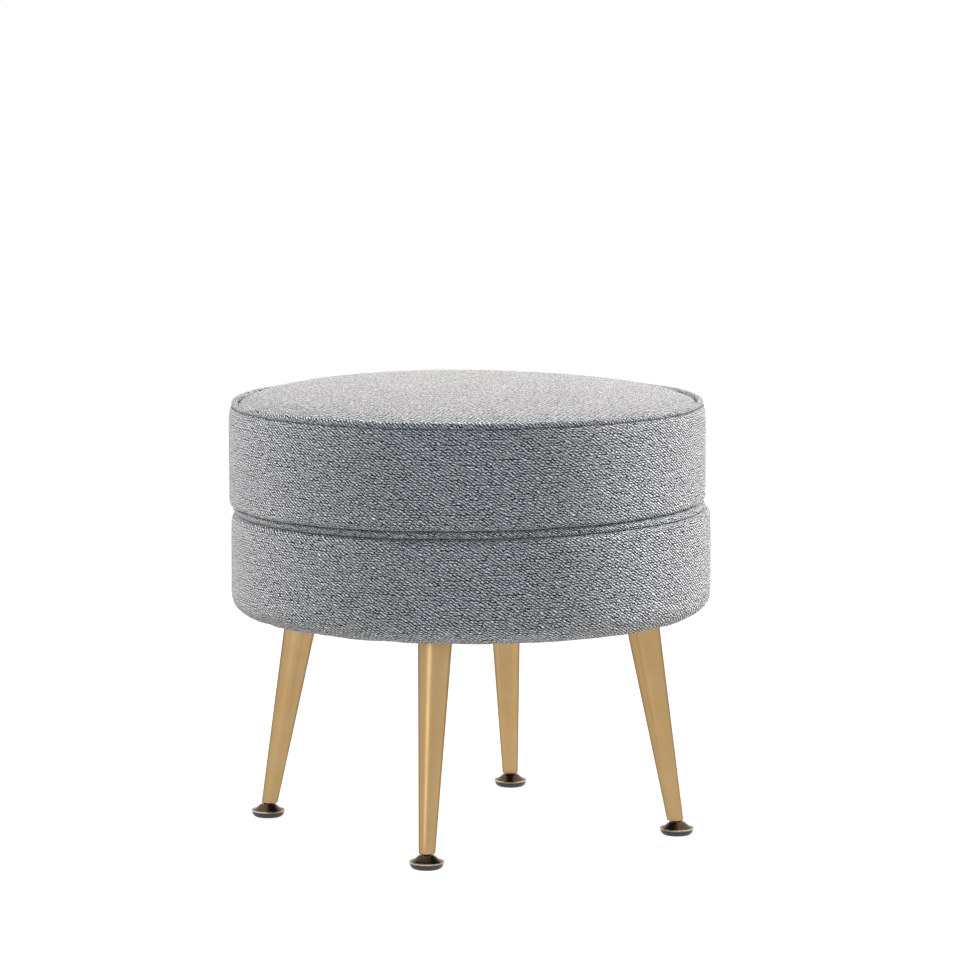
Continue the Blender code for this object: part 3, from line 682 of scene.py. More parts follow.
def cloth_finish():
    made, tree, shader = new_finish(
        "grey_twill",
        0.90,
        Sheen_Weight=0.20,
        Sheen_Roughness=0.30,
        Sheen_Tint=(1.0, 0.94, 0.89, 1.0),
        Specular_IOR_Level=CLOTH_GLOSS,
    )
    flat = add_node(tree, "ShaderNodeUVMap", uv_map="cloth").outputs["UV"]
    weave = add_node(
        tree,
        "ShaderNodeGroup",
        {"Cloth": flat, "Light": LIGHT_YARN, "Dark": DARK_YARN},
        node_tree=twill_weave(),
    ).outputs
    tree.links.new(weave["Color"], shader["Base Color"])
    set_bump(tree, shader, weave["Height"], WEAVE_DEPTH)
    return made


grey_twill = cloth_finish()

# Side bands: two strips of the twill, each closed with one seam at the back, pulled over the foam
# and drawn in at the waist. The lower one is rolled under the base and stapled there.
COLUMNS = 160
SWELL = 0.0022
SWELL_CAP = 0.0027
EXTRA_CLOTH = 0.008
PRESSURE = 20.0
TWILL_FEEL = {
    "quality": 6,
    "mass": 0.05,
    "tension_stiffness": 15.0,
    "compression_stiffness": 15.0,
    "bending_stiffness": 5.0,
    "use_pressure": True,
    "uniform_pressure_force": PRESSURE,
}
SIM_FRAMES = 20
PUCKER = 0.0004
PUCKER_SIZE = 0.010
PUCKER_REACH = 0.010
PUCKER_START = 0.002
WAIST_HEM = 0.012
TUCK_GAP = 0.0001
TUCK_LAG = 0.35
TUCK_END = math.radians(170.0)
UNDER_HEM = 0.006
UNDER_GAP = 0.0003
ROLL_LEAD = 0.0005
LOWER_BULGE = 0.0008
FREE_EASE = 0.22
# How the upper band's edge turns in under the top welt: steps inwards and up
BAND_LIP = ((0.0004, 0.0005), (0.0012, 0.0007), (0.0024, 0.0001), (0.0032, -0.0016))
SEAM_ANGLE = CAMERA_TURN + math.pi / 2
SEAM_DEPTH = 0.0012
SEAM_WIDTH = 0.0016
SEAM_CUTS = (-0.006, -0.003, -0.0015, 0.0, 0.0015, 0.003, 0.006)


def along_outline(outline):
    """Distance along an outline at each of its points."""
    run = [0.0]
    for first, second in zip(outline, outline[1:]):
        run.append(run[-1] + math.dist(first, second))
    return run


def drawn_back(outline, free):
    """The outline before the foam swells it: set back square to itself where the cloth is free."""
    points = []
    for index, (radius, height) in enumerate(outline):
        before = outline[max(index - 1, 0)]
        after = outline[min(index + 1, len(outline) - 1)]
        along = Vector((after[0] - before[0], after[1] - before[1])).normalized()
        back = SWELL * free[index]
        points.append((radius - along.y * back, height + along.x * back))
    return points


def lay_flat(mesh, places):
    """Keeps the place of each face corner on the flat cloth, in metres, as a UV map."""
    layer = mesh.uv_layers.new(name="cloth")
    for corner, place in zip(layer.data, places):
        corner.uv = place
    mesh.shade_smooth()


def band_mesh(name, outline, run, columns=COLUMNS, bias=0.0):
    """A strip of cloth round the drum, its yarns turned by the bias angle from straight."""
    mesh = bpy.data.meshes.new(name)
    vertices = []
    for radius, height in outline:
        for column in range(columns):
            angle = SEAM_ANGLE + math.tau * column / columns
            vertices.append((radius * math.cos(angle), radius * math.sin(angle), height))
    faces = []
    flat = []
    width = math.tau * drum_radius / columns
    turn = Matrix.Rotation(bias, 2)
    for row in range(len(outline) - 1):
        for column in range(columns):
            after = (column + 1) % columns
            low, high = row * columns, (row + 1) * columns
            faces.append((low + column, low + after, high + after, high + column))
            left, right = column * width, (column + 1) * width
            corners = [(left, run[row]), (right, run[row]), (right, run[row + 1]), (left, run[row + 1])]
            flat += [turn @ Vector(corner) for corner in corners]
    mesh.from_pydata(vertices, [], faces)
    lay_flat(mesh, flat)
    return mesh


def bake_modifiers(piece):
    graph = bpy.context.evaluated_depsgraph_get()
    made = bpy.data.meshes.new_from_object(piece.evaluated_get(graph))
    piece.modifiers.clear()
    piece.data = made


def swell(piece, held, rows=(), extra=EXTRA_CLOTH):
    """Inflates a cover by cloth simulation until it is taut, with its sewn edges held.

    Each row of points that is given moves out by its own distance on average.
    """
    sewn = piece.vertex_groups.new(name="sewn")
    for index, weight in enumerate(held):
        sewn.add([index], weight, "REPLACE")
    cloth = piece.modifiers.new("swell", "CLOTH")
    for setting, value in TWILL_FEEL.items():
        setattr(cloth.settings, setting, value)
    cloth.settings.shrink_min = -extra
    cloth.settings.vertex_group_mass = "sewn"
    cloth.settings.effector_weights.gravity = 0.0
    cloth.collision_settings.use_collision = False
    cloth.point_cache.frame_start = 1
    cloth.point_cache.frame_end = SIM_FRAMES
    scene = bpy.context.scene
    for number in range(1, SIM_FRAMES + 1):
        scene.frame_set(number)
    graph = bpy.context.evaluated_depsgraph_get()
    swollen = [vertex.co.copy() for vertex in piece.evaluated_get(graph).data.vertices]
    piece.modifiers.clear()
    piece.vertex_groups.clear()
    scene.frame_set(1)
    moves = []
    normals = [vertex.normal.copy() for vertex in piece.data.vertices]
    for vertex, target in zip(piece.data.vertices, swollen):
        move = target - vertex.co
        moves.append(move * min(1.0, SWELL_CAP / max(move.length, 1e-9)))
    for row, distance in rows:
        lack = distance - sum(moves[index].dot(normals[index]) for index in row) / len(row)
        for index in row:
            moves[index] += normals[index] * lack
    for vertex, move in zip(piece.data.vertices, moves):
        vertex.co += move


def finish_cover(piece, seams):
    """One subdivision, puckers beside the seams, the settled shape and the cloth's thickness."""
    fine = piece.modifiers.new("fine", "SUBSURF")
    fine.levels = fine.render_levels = 1
    bake_modifiers(piece)
    moves = []
    for vertex in piece.data.vertices:
        place = Vector((vertex.co.x, vertex.co.y, 0.0)) / PUCKER_SIZE
        depth = 0.0
        for radius, height in seams:
            gap = math.hypot(vertex.co.xy.length - radius, vertex.co.z - height)
            depth += math.exp(-gap / PUCKER_REACH) * smooth_step(gap / PUCKER_START)
        moves.append(vertex.normal * (PUCKER * depth * noise.noise(place)))
    for vertex, move in zip(piece.data.vertices, moves):
        vertex.co += move
    settle(piece.data)
    thick = piece.modifiers.new("thickness", "SOLIDIFY")
    thick.thickness = CLOTH_THICKNESS
    thick.offset = -1.0


def sew_back_seam(mesh):
    """The closing seam: its two folded edges meet in a shallow groove."""
    bm = bmesh.new()
    bm.from_mesh(mesh)
    across = Vector((-math.sin(SEAM_ANGLE), math.cos(SEAM_ANGLE), 0.0))
    outward = Vector((math.cos(SEAM_ANGLE), math.sin(SEAM_ANGLE), 0.0))
    for place in SEAM_CUTS:
        near = [face for face in bm.faces if face.calc_center_median().dot(outward) > drum_radius * 0.5]
        edges = {edge for face in near for edge in face.edges}
        corners = {vertex for face in near for vertex in face.verts}
        bmesh.ops.bisect_plane(
            bm,
            geom=[*corners, *edges, *near],
            dist=1e-6,
            plane_co=across * place,
            plane_no=across,
        )
    for vertex in bm.verts:
        if vertex.co.dot(outward) > 0.0:
            gap = vertex.co.dot(across) / SEAM_WIDTH
            vertex.co -= outward * (SEAM_DEPTH * math.exp(-gap * gap))
    bm.to_mesh(mesh)
    bm.free()


def add_band(name, outline, first, last, bulge, node):
    """Sews one band: its rows between first and last are free to bulge, and the rest are held."""
    run = along_outline(outline)
    span = run[last] - run[first]
    free = []
    for place in run:
        share = (place - run[first]) / span
        free.append(smooth_step(share / FREE_EASE) * smooth_step((1.0 - share) / FREE_EASE))
    mesh = band_mesh(name, drawn_back(outline, free), run)
    piece = dress(name, mesh, grey_twill, "frame", "cover", node)
    held = [0.0 if first < row < last else 1.0 for row in range(len(outline)) for _ in range(COLUMNS)]
    rows = []
    for row, share in enumerate(free):
        rows.append((range(row * COLUMNS, (row + 1) * COLUMNS), (SWELL + bulge) * share))
    swell(piece, held, rows)
    finish_cover(piece, [outline[first], outline[last]])
    sew_back_seam(piece.data)


def add_bands():
    behind = waist_cord + TUCK_GAP
    centre = (waist_ring, waist)
    hem = waist_ring - WAIST_HEM
    tuck_start = CREASE_ANGLE + TUCK_LAG

    hem_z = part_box("dust_cover")[1].z + UNDER_GAP
    under = [
        (dust_edge - UNDER_HEM, hem_z),
        (dust_edge + UNDER_GAP, hem_z),
        (drum_radius - ROLL_WIDTH - ROLL_LEAD, (underside * 2 + hem_z) / 3),
    ]
    body = lower_outline(0.0)
    tuck = curve(centre, behind, behind, -tuck_start, -TUCK_END, 3)
    outline = under + body + tuck + [(hem, waist - CLOTH_THICKNESS)]
    first, last = len(under) + 2, len(under) + len(body) - 1
    add_band("lower_band_cloth", outline, first, last, LOWER_BULGE, "lower_band")

    tuck = [(hem, waist + CLOTH_THICKNESS)] + curve(centre, behind, behind, TUCK_END, tuck_start, 3)
    body = upper_outline(0.0)
    edge_radius, edge_z = body[-1]
    lip = [(edge_radius - inwards, edge_z + up) for inwards, up in BAND_LIP]
    last = len(tuck) + len(body) - 1
    outline = tuck + body + lip
    add_band("upper_band_cloth", outline, len(tuck), last, 0.0, "upper_band")


add_bands()

# Welts: cord in a sleeve of the same twill, cut on the bias, sewn in at the waist and round the seat.
# Its tape lies between the layers of the seam, and the thread pulls the top cord a little flat.
WELT_COLUMNS = 320
WELT_SIDES = 20
BIAS = math.radians(15.0)
TOP_SHIFT = 0.0004
TOP_NARROW = 0.0012
TOP_FLAT = 0.00064
TOP_SEAM = math.radians(235.0)
WAIST_TAPE = 0.0005
TAPE_ANGLE = math.radians(172.0)
CORD_LUMP = 0.00014
CORD_LUMP_SIZE = 0.006


def add_welt(name, outline, node):
    mesh = band_mesh(name, outline, along_outline(outline), WELT_COLUMNS, BIAS)
    lumps = [noise.noise(vertex.co / CORD_LUMP_SIZE) * vertex.normal for vertex in mesh.vertices]
    for vertex, lump in zip(mesh.vertices, lumps):
        vertex.co += lump * CORD_LUMP
    settle(mesh)
    dress(name, mesh, grey_twill, "frame", "cover", node)


def add_welts():
    centre = (waist_ring, waist)
    hem = waist_ring - WAIST_HEM
    sleeve = curve(centre, waist_cord, waist_cord, -TAPE_ANGLE, TAPE_ANGLE, WELT_SIDES)
    sleeve = [(hem, waist - WAIST_TAPE), *sleeve, (hem, waist + WAIST_TAPE)]
    add_welt("waist_welt_cord", sleeve, "waist_welt")
    centre = (top_ring + TOP_SHIFT, top_z - TOP_SHIFT)
    width, height = top_cord - TOP_NARROW, top_cord - TOP_FLAT
    sleeve = curve(centre, width, height, TOP_SEAM, TOP_SEAM + math.tau, WELT_SIDES)
    add_welt("top_welt_cord", sleeve, "top_welt")


add_welts()

# Seat top: a disc of the twill sewn to the top welt, with the crown of the foam pushing it up.
CORE_STEPS = 14
CORE_SHARE = 0.52
CORE_SQUARE = 0.85
RING_STEPS = 16
CROWN_EXTRA = 0.0025
# How the disc's edge turns down beside the welt: steps in from its rim and down
SEAT_LIP = ((0.0004, 0.0008), (0.0, 0.0018), (0.0, 0.0030))


def disc_mesh(name, core_radius, rings, height):
    """A disc of even quads: a square grid eased into a round core, then rings round it."""
    count = CORE_STEPS
    corners = {}
    angles = {}
    vertices = []
    for across in range(-count, count + 1):
        for along in range(-count, count + 1):
            out = max(abs(across), abs(along))
            if out == 0:
                angle = 0.0
            elif across == out:
                angle = math.pi / 4 * along / out
            elif along == out:
                angle = math.pi / 2 - math.pi / 4 * across / out
            elif across == -out:
                angle = math.pi - math.pi / 4 * along / out
            else:
                angle = -math.pi / 2 + math.pi / 4 * across / out
            share = out / count
            bent = Vector((math.cos(angle), math.sin(angle))) * share
            square = Vector((across, along)) * (CORE_SQUARE / count)
            spot = square.lerp(bent, share) * core_radius
            corners[across, along] = len(vertices)
            if out == count:
                angles[angle % math.tau] = len(vertices)
            vertices.append((spot.x, spot.y, height(spot.length)))
    steps = range(-count, count)
    faces = [
        (corners[a, b], corners[a + 1, b], corners[a + 1, b + 1], corners[a, b + 1])
        for a in steps
        for b in steps
    ]
    inner = [angles[angle] for angle in sorted(angles)]
    for radius, ring_z in rings:
        outer = []
        for angle in sorted(angles):
            outer.append(len(vertices))
            vertices.append((radius * math.cos(angle), radius * math.sin(angle), ring_z))
        for turn in range(len(inner)):
            after = (turn + 1) % len(inner)
            faces.append((inner[turn], outer[turn], outer[after], inner[after]))
        inner = outer
    mesh = bpy.data.meshes.new(name)
    mesh.from_pydata(vertices, [], faces)
    right = in_studio(1.0, 0.0, 0.0)
    away = in_studio(0.0, -1.0, 0.0)
    spots = [mesh.vertices[loop.vertex_index].co for loop in mesh.loops]
    lay_flat(mesh, [(spot.dot(right), spot.dot(away)) for spot in spots])
    return mesh


def add_seat_top():
    edge_z = crown_height(rim_radius)
    rolled = [(rim_radius - inwards, edge_z - down) for inwards, down in SEAT_LIP]
    core = rim_radius * CORE_SHARE
    drop = SWELL

    def start_height(radius):
        return crown_height(radius) - drop * (1.0 - min(radius / flat_edge, 1.0) ** 6)

    rings = []
    for step in range(1, RING_STEPS + 1):
        radius = core + (flat_edge - core) * (1.0 - (1.0 - step / RING_STEPS) ** 1.3)
        rings.append((radius, start_height(radius)))
    mesh = disc_mesh("seat_top_cloth", core, rings + rolled, start_height)
    piece = dress("seat_top_cloth", mesh, grey_twill, "frame", "cover", "top_panel")
    held = [1.0 if vertex.co.xy.length > flat_edge - 1e-5 else 0.0 for vertex in mesh.vertices]
    first = (2 * CORE_STEPS + 1) ** 2
    round_count = 8 * CORE_STEPS
    rows = []
    for index, (radius, height) in enumerate(rings):
        row = range(first + index * round_count, first + (index + 1) * round_count)
        rows.append((row, crown_height(radius) - height))
    swell(piece, held, rows, CROWN_EXTRA)
    finish_cover(piece, [(rim_radius, edge_z)])


add_seat_top()

# Dust cover: black spunbonded cloth that closes the underside, its edge folded in over the hem of
# the lower band and held by a ring of wire staples.
DUST_BLACK = (0.014, 0.014, 0.016, 1.0)
DUST_GREY = (0.040, 0.040, 0.044, 1.0)
DUST_DOT = 0.0013
DUST_SAG = 0.0004
DUST_SAG_SIZE = 0.045
DUST_FOLD = 0.006
DUST_THICKNESS = 0.0004
STAPLES = 44
STAPLE_WIDTH = 0.0102
STAPLE_WIRE = 0.0006
STAPLE_INSET = 0.0032


def dust_finish():
    made, tree, shader = new_finish("spunbonded_cloth", 0.85, Specular_IOR_Level=0.3)
    place = place_in_piece(tree)
    across, along = add_node(tree, "ShaderNodeSeparateXYZ", {0: place}).outputs[:2]
    rows = calc(tree, "SINE", calc(tree, "MULTIPLY", across, math.tau / DUST_DOT))
    lines = calc(tree, "SINE", calc(tree, "MULTIPLY", along, math.tau / DUST_DOT))
    dots = calc(tree, "MULTIPLY", rows, lines)
    fibres = grain(tree, place, 1400.0, 3.0)
    pressed = calc(tree, "MULTIPLY_ADD", calc(tree, "GREATER_THAN", dots, 0.35), -0.6, fibres)
    two_tones(tree, shader, pressed, DUST_BLACK, DUST_GREY)
    set_bump(tree, shader, pressed, 0.0002)
    return made


def add_dust_cover():
    dust_lo, dust_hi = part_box("dust_cover")
    level = dust_hi.z - DUST_THICKNESS
    core = dust_edge * CORE_SHARE
    reach = [core + (dust_edge - core) * step / RING_STEPS for step in range(1, RING_STEPS + 1)]
    fold = [(dust_edge, dust_lo.z), (dust_edge - DUST_FOLD, dust_lo.z)]
    rings = [(radius, level) for radius in reach] + fold
    mesh = disc_mesh("dust_cover_cloth", core, rings, lambda radius: level)
    for vertex in mesh.vertices:
        if vertex.co.z == level:
            vertex.co.z += DUST_SAG * (noise.noise(vertex.co / DUST_SAG_SIZE) - 0.5)
    mesh.flip_normals()
    piece = dress("dust_cover_cloth", mesh, dust_finish(), "frame", "dust_cloth", "dust_cover")
    thick = piece.modifiers.new("thickness", "SOLIDIFY")
    thick.thickness = DUST_THICKNESS

    bm = bmesh.new()
    for number in range(STAPLES):
        turn = Matrix.Rotation(math.tau * (number + 0.5) / STAPLES, 4, "Z")
        spot = Matrix.Translation((dust_edge - STAPLE_INSET, 0.0, dust_lo.z - STAPLE_WIRE / 2))
        tilt = Matrix.Rotation(0.25 * noise.noise(Vector((number * 1.7, 0.0, 0.0))), 4, "Z")
        size = Matrix.Diagonal((STAPLE_WIRE * 2, STAPLE_WIDTH, STAPLE_WIRE, 1.0))
        bmesh.ops.create_cube(bm, size=1.0, matrix=turn @ spot @ tilt @ size)
    bmesh.ops.bevel(bm, geom=bm.edges[:], offset=STAPLE_WIRE * 0.3, segments=2, affect="EDGES")
    mesh = mesh_from(bm, "dust_cover_staples")
    mesh.shade_smooth()
    dress("dust_cover_staples", mesh, zinc, "frame", "zinc_steel")


add_dust_cover()

# Leg plates: round zinc-plated steel discs welded on the leg tops, each held to the base board by
# three cross-head screws through the dust cover.
SCREW_HEAD = 0.0024
SCREW_HEAD_RADIUS = 0.0036
SCREW_SHANK_RADIUS = 0.0020
RECESS_SPAN = 0.0040
RECESS_WIDTH = 0.0009
RECESS_DEPTH = 0.0013
PLATE_EDGE = 0.0005
WELD_BEAD = 0.0013
WELD_RIPPLE = 0.0002
WELD_RIPPLE_SIZE = 0.003
ROUND = 64
joints = {joint["name"]: joint for joint in frame["record"]["behaviour"]["joints"]}


def leg_axes(number):
    """Two frames at a foot's ball: one upright and one along the leg, both with X outwards."""
    ball = Vector(joints[f"swivel_{number}"]["pos_m"])
    outward = Vector((ball.x, ball.y, 0.0)).normalized()
    found = []
    for up in (Vector((0.0, 0.0, 1.0)), -Vector(joints[f"level_{number}"]["axis"])):
        side = up.cross(outward).normalized()
        axes = Matrix((side.cross(up), side, up)).transposed().to_4x4()
        found.append(Matrix.Translation(ball) @ axes)
    return found


def cross_head_screw(length):
    """A pan head below zero, cut by a cross recess, and a plain shank above."""
    dome = curve((0.0, 0.0), SCREW_HEAD_RADIUS, SCREW_HEAD, -math.pi / 2, -math.radians(12.0), 8)
    profile = [(0.0, -SCREW_HEAD)] + dome[1:]
    profile += [(SCREW_HEAD_RADIUS, 0.0), (SCREW_SHANK_RADIUS, 0.0)]
    profile += [(SCREW_SHANK_RADIUS, length - SCREW_SHANK_RADIUS), (0.0, length)]
    head = put("cross_head", turned("cross_head", profile, 32, closed=False))
    bm = bmesh.new()
    for turn in (0.0, math.pi / 2):
        size = Matrix.Diagonal((RECESS_SPAN, RECESS_WIDTH, RECESS_DEPTH * 2, 1.0))
        spot = Matrix.Translation((0.0, 0.0, -SCREW_HEAD)) @ Matrix.Rotation(turn, 4, "Z")
        bmesh.ops.create_cube(bm, size=1.0, matrix=spot @ size)
    recess = put("cross_recess", mesh_from(bm, "cross_recess"))
    cut = head.modifiers.new("recess", "BOOLEAN")
    cut.object = recess
    cut.use_self = True
    bake_modifiers(head)
    made = head.data
    bpy.data.objects.remove(head)
    bpy.data.objects.remove(recess)
    made.set_sharp_from_angle(angle=math.radians(35.0))
    return made


def plate_mesh(radius, thickness, tube_radius, stretch):
    profile = [
        (0.0, 0.0),
        (radius - PLATE_EDGE, 0.0),
        (radius, PLATE_EDGE),
        (radius, thickness - PLATE_EDGE),
        (radius - PLATE_EDGE, thickness),
        (0.0, thickness),
    ]
    plate = turned("leg_plate_disc", profile, ROUND, closed=False)
    ring = curve((tube_radius, 0.0), WELD_BEAD, WELD_BEAD, 0.0, math.tau, 10)[:-1]
    bead = turned("weld_bead", ring, ROUND)
    for vertex in bead.vertices:
        ripple = WELD_RIPPLE * noise.noise(vertex.co / WELD_RIPPLE_SIZE)
        vertex.co += vertex.co.normalized() * ripple
        vertex.co.x *= stretch
    bm = bmesh.new()
    bm.from_mesh(plate)
    bm.from_mesh(bead)
    bm.to_mesh(plate)
    bm.free()
    bpy.data.meshes.remove(bead)
    return plate


def add_leg_plates():
    plate_lo, plate_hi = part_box("leg_plate_1")
    screw_lo, screw_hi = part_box("leg_screw_1_1")
    leaning = leg_axes(1)[1].col[2]
    plate = plate_mesh(plate_hi.y, plate_hi.z - plate_lo.z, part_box("leg_1")[1].y, 1.0 / leaning.z)
    screw = cross_head_screw(screw_hi.z - screw_lo.z - SCREW_HEAD)
    for number in range(1, 5):
        node = f"leg_plate_{number}"
        lo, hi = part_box(node)
        spot = Vector(((lo.x + hi.x) / 2, (lo.y + hi.y) / 2, lo.z))
        place = Matrix.Translation(spot) @ leg_axes(number)[0].to_3x3().to_4x4()
        dress(f"leg_flange_{number}", plate, zinc, "frame", "zinc_steel", node, at=place)
        for hole in range(1, 4):
            node = f"leg_screw_{number}_{hole}"
            lo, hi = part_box(node)
            spot = Vector(((lo.x + hi.x) / 2, (lo.y + hi.y) / 2, lo.z + SCREW_HEAD))
            place = Matrix.Translation(spot) @ Matrix.Rotation(number * 0.9 + hole * 0.7, 4, "Z")
            name = f"cross_head_screw_{number}_{hole}"
            dress(name, screw, zinc, "frame", "zinc_steel", node, at=place)


add_leg_plates()

# Legs: tapered steel tubes, brushed along their length and plated in satin brass, splayed outwards.
# They are cut level at both ends, and a threaded plug is pressed in just above the lower cut.
BRASS = (0.450, 0.312, 0.155, 1.0)
BRASS_WARM = (0.430, 0.280, 0.122, 1.0)
# A dark bluish tint at grazing angles: painted shade on the legs' edges, standing in for the dark
# surroundings they reflect
BRASS_PAINTED_EDGE_SHADE = (0.300, 0.320, 0.380, 1.0)
BRUSHED = (420.0, 420.0, 9.0)
LEG_END_RADIUS = 0.0079
LEG_WALL = 0.0013
LEG_LIP = 0.0004
PLUG_LENGTH = 0.018
PLUG_BORE = 0.0033
PLUG_GAP = 0.0003
PLUG_EDGE = 0.0005
leg_lo, leg_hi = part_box("leg_1")
leg_rise = -joints["level_1"]["axis"][2]
ball_z = joints["swivel_1"]["pos_m"][2]
leg_full = (leg_hi.z - ball_z) / leg_rise
leg_end = (leg_lo.z - ball_z) / leg_rise
plug_end = leg_end + LEG_END_RADIUS * math.tan(math.acos(leg_rise))


def leg_radius(along):
    share = (along - leg_end) / (leg_full - leg_end)
    return LEG_END_RADIUS + (leg_hi.y - LEG_END_RADIUS) * share


def cut_level(bm, along, keep_above):
    """Cuts the leaning tube level at a distance up its axis, and gives back the cut's edges."""
    cut = bmesh.ops.bisect_plane(
        bm,
        geom=[*bm.verts, *bm.edges, *bm.faces],
        plane_co=(0.0, 0.0, along),
        plane_no=leg_axes(1)[1].to_3x3().inverted() @ Vector((0.0, 0.0, 1.0)),
        clear_inner=keep_above,
        clear_outer=not keep_above,
    )
    return [item for item in cut["geom_cut"] if isinstance(item, bmesh.types.BMEdge)]


def leg_tube_mesh():
    """The tube along Z from the foot's ball, with the edge of its lower cut eased."""
    past = leg_full + leg_hi.y
    before = leg_end - LEG_END_RADIUS
    outer = [before + (past - before) * step / 12 for step in range(13)]
    profile = [(leg_radius(past) - LEG_WALL, past), (leg_radius(before) - LEG_WALL, before)]
    profile += [(leg_radius(along), along) for along in outer]
    tube = turned("brass_leg", profile, ROUND, closed=False)
    bm = bmesh.new()
    bm.from_mesh(tube)
    cut_level(bm, leg_full, keep_above=False)
    rim = cut_level(bm, leg_end, keep_above=True)
    outside = [edge for edge in rim if edge.verts[0].co.xy.length > LEG_END_RADIUS - LEG_WALL / 2]
    bmesh.ops.bridge_loops(bm, edges=rim)
    bmesh.ops.bevel(bm, geom=outside, offset=LEG_LIP, segments=3, profile=0.5, affect="EDGES")
    bm.to_mesh(tube)
    bm.free()
    tube.shade_smooth()
    tube.set_sharp_from_angle(angle=math.radians(50.0))
    return tube


def add_legs():
    brass = metal_finish("satin_brass", BRASS, BRASS_WARM, BRUSHED, 0.27, 0.36, 0.00001, BRASS_PAINTED_EDGE_SHADE)[0]
    tube = leg_tube_mesh()
    top = plug_end + PLUG_LENGTH
    seat = LEG_WALL + PLUG_GAP
    plug_profile = [
        (PLUG_BORE, top),
        (PLUG_BORE, plug_end + PLUG_EDGE),
        (PLUG_BORE + PLUG_EDGE, plug_end),
        (leg_radius(plug_end) - seat - LEG_LIP, plug_end),
        (leg_radius(plug_end) - seat, plug_end + LEG_LIP),
        (leg_radius(top) - seat, top),
    ]
    plug = turned("leg_end_plug", plug_profile, 48)
    for number in range(1, 5):
        along = leg_axes(number)[1]
        leg, insert = f"leg_{number}", f"leg_insert_{number}"
        dress(f"brass_{leg}", tube, brass, "frame", "satin_brass", leg, at=along)
        dress(f"leg_end_plug_{number}", plug, zinc, "frame", "zinc_steel", insert, at=along)


add_legs()

# Glides: a levelling screw whose ball snaps in a black moulded foot, under a spun cap of antique
# brass with a rolled rim. The foot stays level on the floor while the leg leans.
BALL = 0.0040
NECK = 0.0022
COLLAR = 0.0042
COLLAR_THICKNESS = 0.0008
THREAD_OUTER = 0.0030
THREAD_DEPTH = 0.0005
THREAD_PITCH = 0.0010
STEM_LENGTH = 0.0240
THROAT = 0.0052
CAP_WALL = 0.0009
CONE_TOP = 0.0075
CONE_FOOT = 0.0148
CONE_EDGE = 0.0004
RIM = 0.0017
FLOOR_RADIUS = 0.0115
SOCKET_GAP = 0.0003
SOCKET_LIP = 0.0016
ANTIQUE = (0.100, 0.068, 0.047, 1.0)
ANTIQUE_RED = (0.130, 0.078, 0.052, 1.0)
RUBBED = (0.860, 0.720, 0.560, 1.0)
SPUN = (30.0, 30.0, 900.0)
GLIDE_BLACK = (0.016, 0.014, 0.017, 1.0)
GLIDE_SCUFF = (0.060, 0.056, 0.058, 1.0)


def stem_mesh():
    """The levelling screw along Z from its ball, with a turned thread above the stop collar."""
    neck = math.acos(NECK / BALL)
    collar_top = plug_end - SOCKET_GAP
    end = collar_top + STEM_LENGTH
    profile = curve((0.0, 0.0), BALL, BALL, -math.pi / 2, neck, 14)
    profile[0] = (0.0, -BALL)
    profile += [(NECK, collar_top - COLLAR_THICKNESS), (COLLAR, collar_top - COLLAR_THICKNESS)]
    profile += [(COLLAR, collar_top), (THREAD_OUTER - THREAD_DEPTH, collar_top)]
    rows = round(STEM_LENGTH / THREAD_PITCH * 8)
    start = collar_top + THREAD_PITCH
    profile += [(THREAD_OUTER, start + (end - 0.0006 - start) * row / rows) for row in range(rows + 1)]
    profile += [(THREAD_OUTER - 0.0008, end), (0.0, end)]
    mesh = turned("levelling_screw", profile, 32, closed=False)
    for vertex in mesh.vertices:
        if start - 1e-6 < vertex.co.z < end - 1e-6:
            turn = math.atan2(vertex.co.y, vertex.co.x) / math.tau
            phase = (vertex.co.z / THREAD_PITCH - turn) % 1.0
            cut = THREAD_DEPTH * abs(2.0 * phase - 1.0)
            vertex.co.xy *= 1.0 - cut / THREAD_OUTER
    mesh.set_sharp_from_angle(angle=math.radians(60.0))
    return mesh


def cap_mesh(height, rim_bottom, radius):
    """The spun cap: cone, groove, rolled rim and a thin second bead, with rubbed edges marked."""
    rim_top = rim_bottom + RIM
    bead = rim_bottom + RIM * 0.62
    flank = []
    for share in [step / 8 for step in range(9)]:
        cone = CONE_FOOT - (CONE_FOOT - CONE_TOP) * share**0.85
        flank.append((cone, rim_top + (height - CONE_EDGE - rim_top) * share, 0.0))
    outline = [
        (THROAT, height - CAP_WALL, 0.0),
        (CONE_TOP - CONE_EDGE, height - CAP_WALL, 0.0),
        (CONE_FOOT - 0.0012, rim_bottom, 0.0),
        (radius - 0.0009, rim_bottom, 0.2),
        (radius - 0.0004, rim_bottom + 0.0001, 0.7),
        (radius - 0.0003, rim_bottom + 0.0003, 0.8),
        (radius - 0.0007, rim_bottom + 0.0005, 0.0),
        (radius - 0.0003, rim_bottom + 0.0007, 0.6),
        (radius, bead, 1.0),
        (radius - 0.0002, rim_top - 0.0002, 1.0),
        (radius - 0.0008, rim_top, 0.7),
        (CONE_FOOT + 0.0008, rim_top - 0.0001, 0.0),
        (CONE_FOOT + 0.0002, rim_top - 0.0003, 0.0),
        *flank,
        (CONE_TOP - CONE_EDGE, height, 0.5),
        (THROAT + 0.0002, height, 0.1),
        (THROAT, height - 0.0002, 0.0),
    ]
    mesh = turned("glide_cone", [(r, z - ball_z) for r, z, _ in outline], ROUND, sharp=50.0)
    wear = mesh.attributes.new("wear", "FLOAT", "POINT")
    for index, row in enumerate(outline):
        for turn in range(ROUND):
            wear.data[index * ROUND + turn].value = row[2]
    return mesh


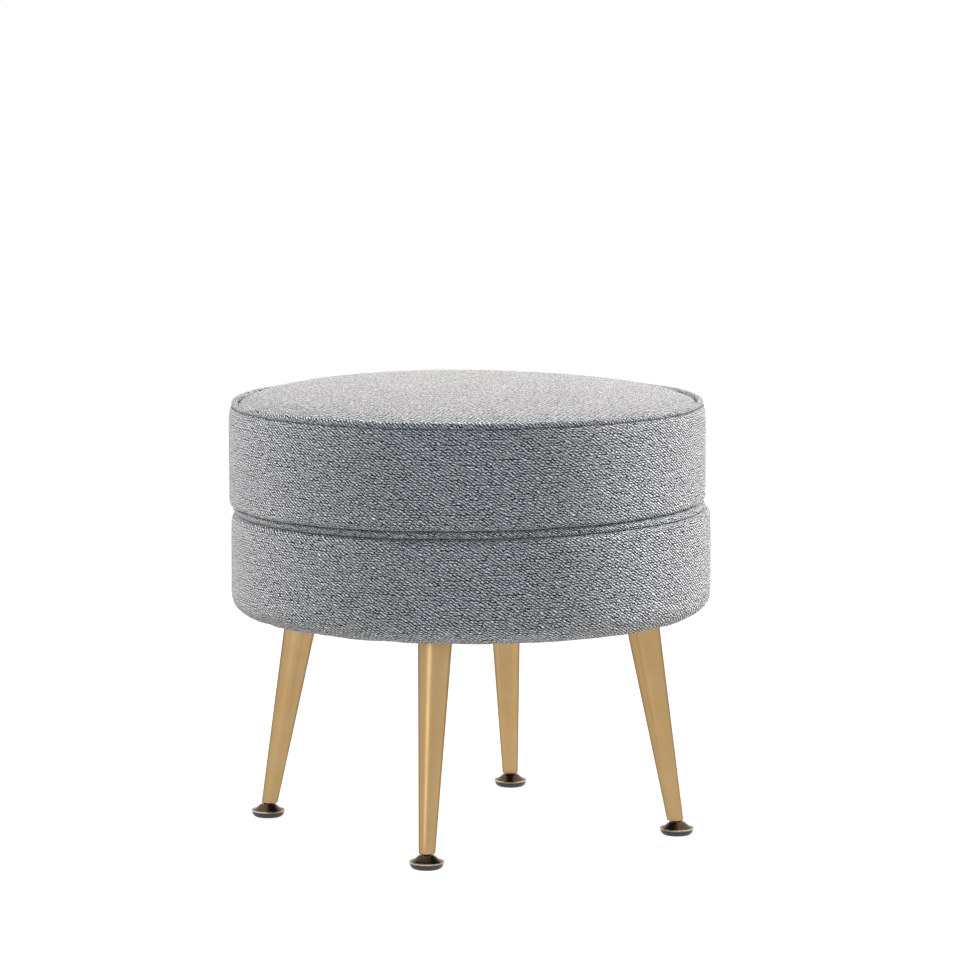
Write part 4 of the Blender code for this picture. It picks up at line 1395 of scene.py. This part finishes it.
def foot_mesh(bowl_top, radius, plug_top):
    """The moulded foot: a rounded bowl on the floor, a plug in the cap and the ball's socket."""
    socket = BALL + SOCKET_GAP
    lip = math.asin(SOCKET_LIP / socket)
    bowl = curve((FLOOR_RADIUS, bowl_top), radius - FLOOR_RADIUS, bowl_top, -math.pi / 2, 0.0, 12)
    cup = curve((0.0, ball_z), socket, socket, lip, -math.pi / 2, 10)
    plug = [
        (CONE_FOOT - 0.0016, bowl_top),
        (CONE_TOP - 0.0010, plug_top),
        (cup[0][0] + 0.0008, plug_top),
    ]
    profile = [(0.0, 0.0), *bowl, *plug, *cup[:-1], (0.0, ball_z - socket)]
    return turned("glide_foot", [(r, z - ball_z) for r, z in profile], ROUND, closed=False)


def antique_finish():
    """Brass darkened by a bath, with the plate rubbed through to bright on its edges."""
    made, tree, shader, worn = metal_finish(
        "antique_brass", ANTIQUE, ANTIQUE_RED, SPUN, 0.20, 0.34, 0.00001
    )
    edge = add_node(tree, "ShaderNodeAttribute", attribute_name="wear").outputs["Fac"]
    rub = grain(tree, place_in_piece(tree), 900.0)
    bright = calc(tree, "MULTIPLY", edge, remap(tree, rub, 0.25, 0.6, 0.55, 1.0))
    two_tones(tree, shader, bright, worn["Color"], RUBBED)
    return made


def black_finish():
    made, tree, shader = new_finish("moulded_black", 0.38)
    place = place_in_piece(tree)
    scuffs = remap(tree, grain(tree, stretched(tree, place, (1.0, 1.0, 0.3)), 600.0, 4.0), 0.55, 0.75)
    two_tones(tree, shader, scuffs, GLIDE_BLACK, GLIDE_SCUFF)
    tree.links.new(remap(tree, scuffs, 0.0, 1.0, 0.32, 0.55), shader["Roughness"])
    set_bump(tree, shader, grain(tree, place, 2500.0), 0.00003)
    return made


def add_glides():
    antique = antique_finish()
    black = black_finish()
    cap_lo, cap_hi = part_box("glide_cap_1")
    base_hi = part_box("glide_base_1")[1]
    bowl_top = cap_lo.z - SOCKET_GAP
    stem = stem_mesh()
    cap = cap_mesh(cap_hi.z, cap_lo.z, cap_hi.y)
    foot = foot_mesh(bowl_top, base_hi.y, base_hi.z)
    for number in range(1, 5):
        upright, along = leg_axes(number)
        for name, mesh, finish, body, slot, node, place in (
            ("levelling_screw", stem, antique, "stem", "antique_brass", "glide_stem", along),
            ("glide_cone", cap, antique, "glide", "antique_brass", "glide_cap", upright),
            ("glide_foot", foot, black, "glide", "glide_black", "glide_base", upright),
        ):
            name, body, node = (f"{word}_{number}" for word in (name, body, node))
            dress(name, mesh, finish, body, slot, node, at=place)


add_glides()
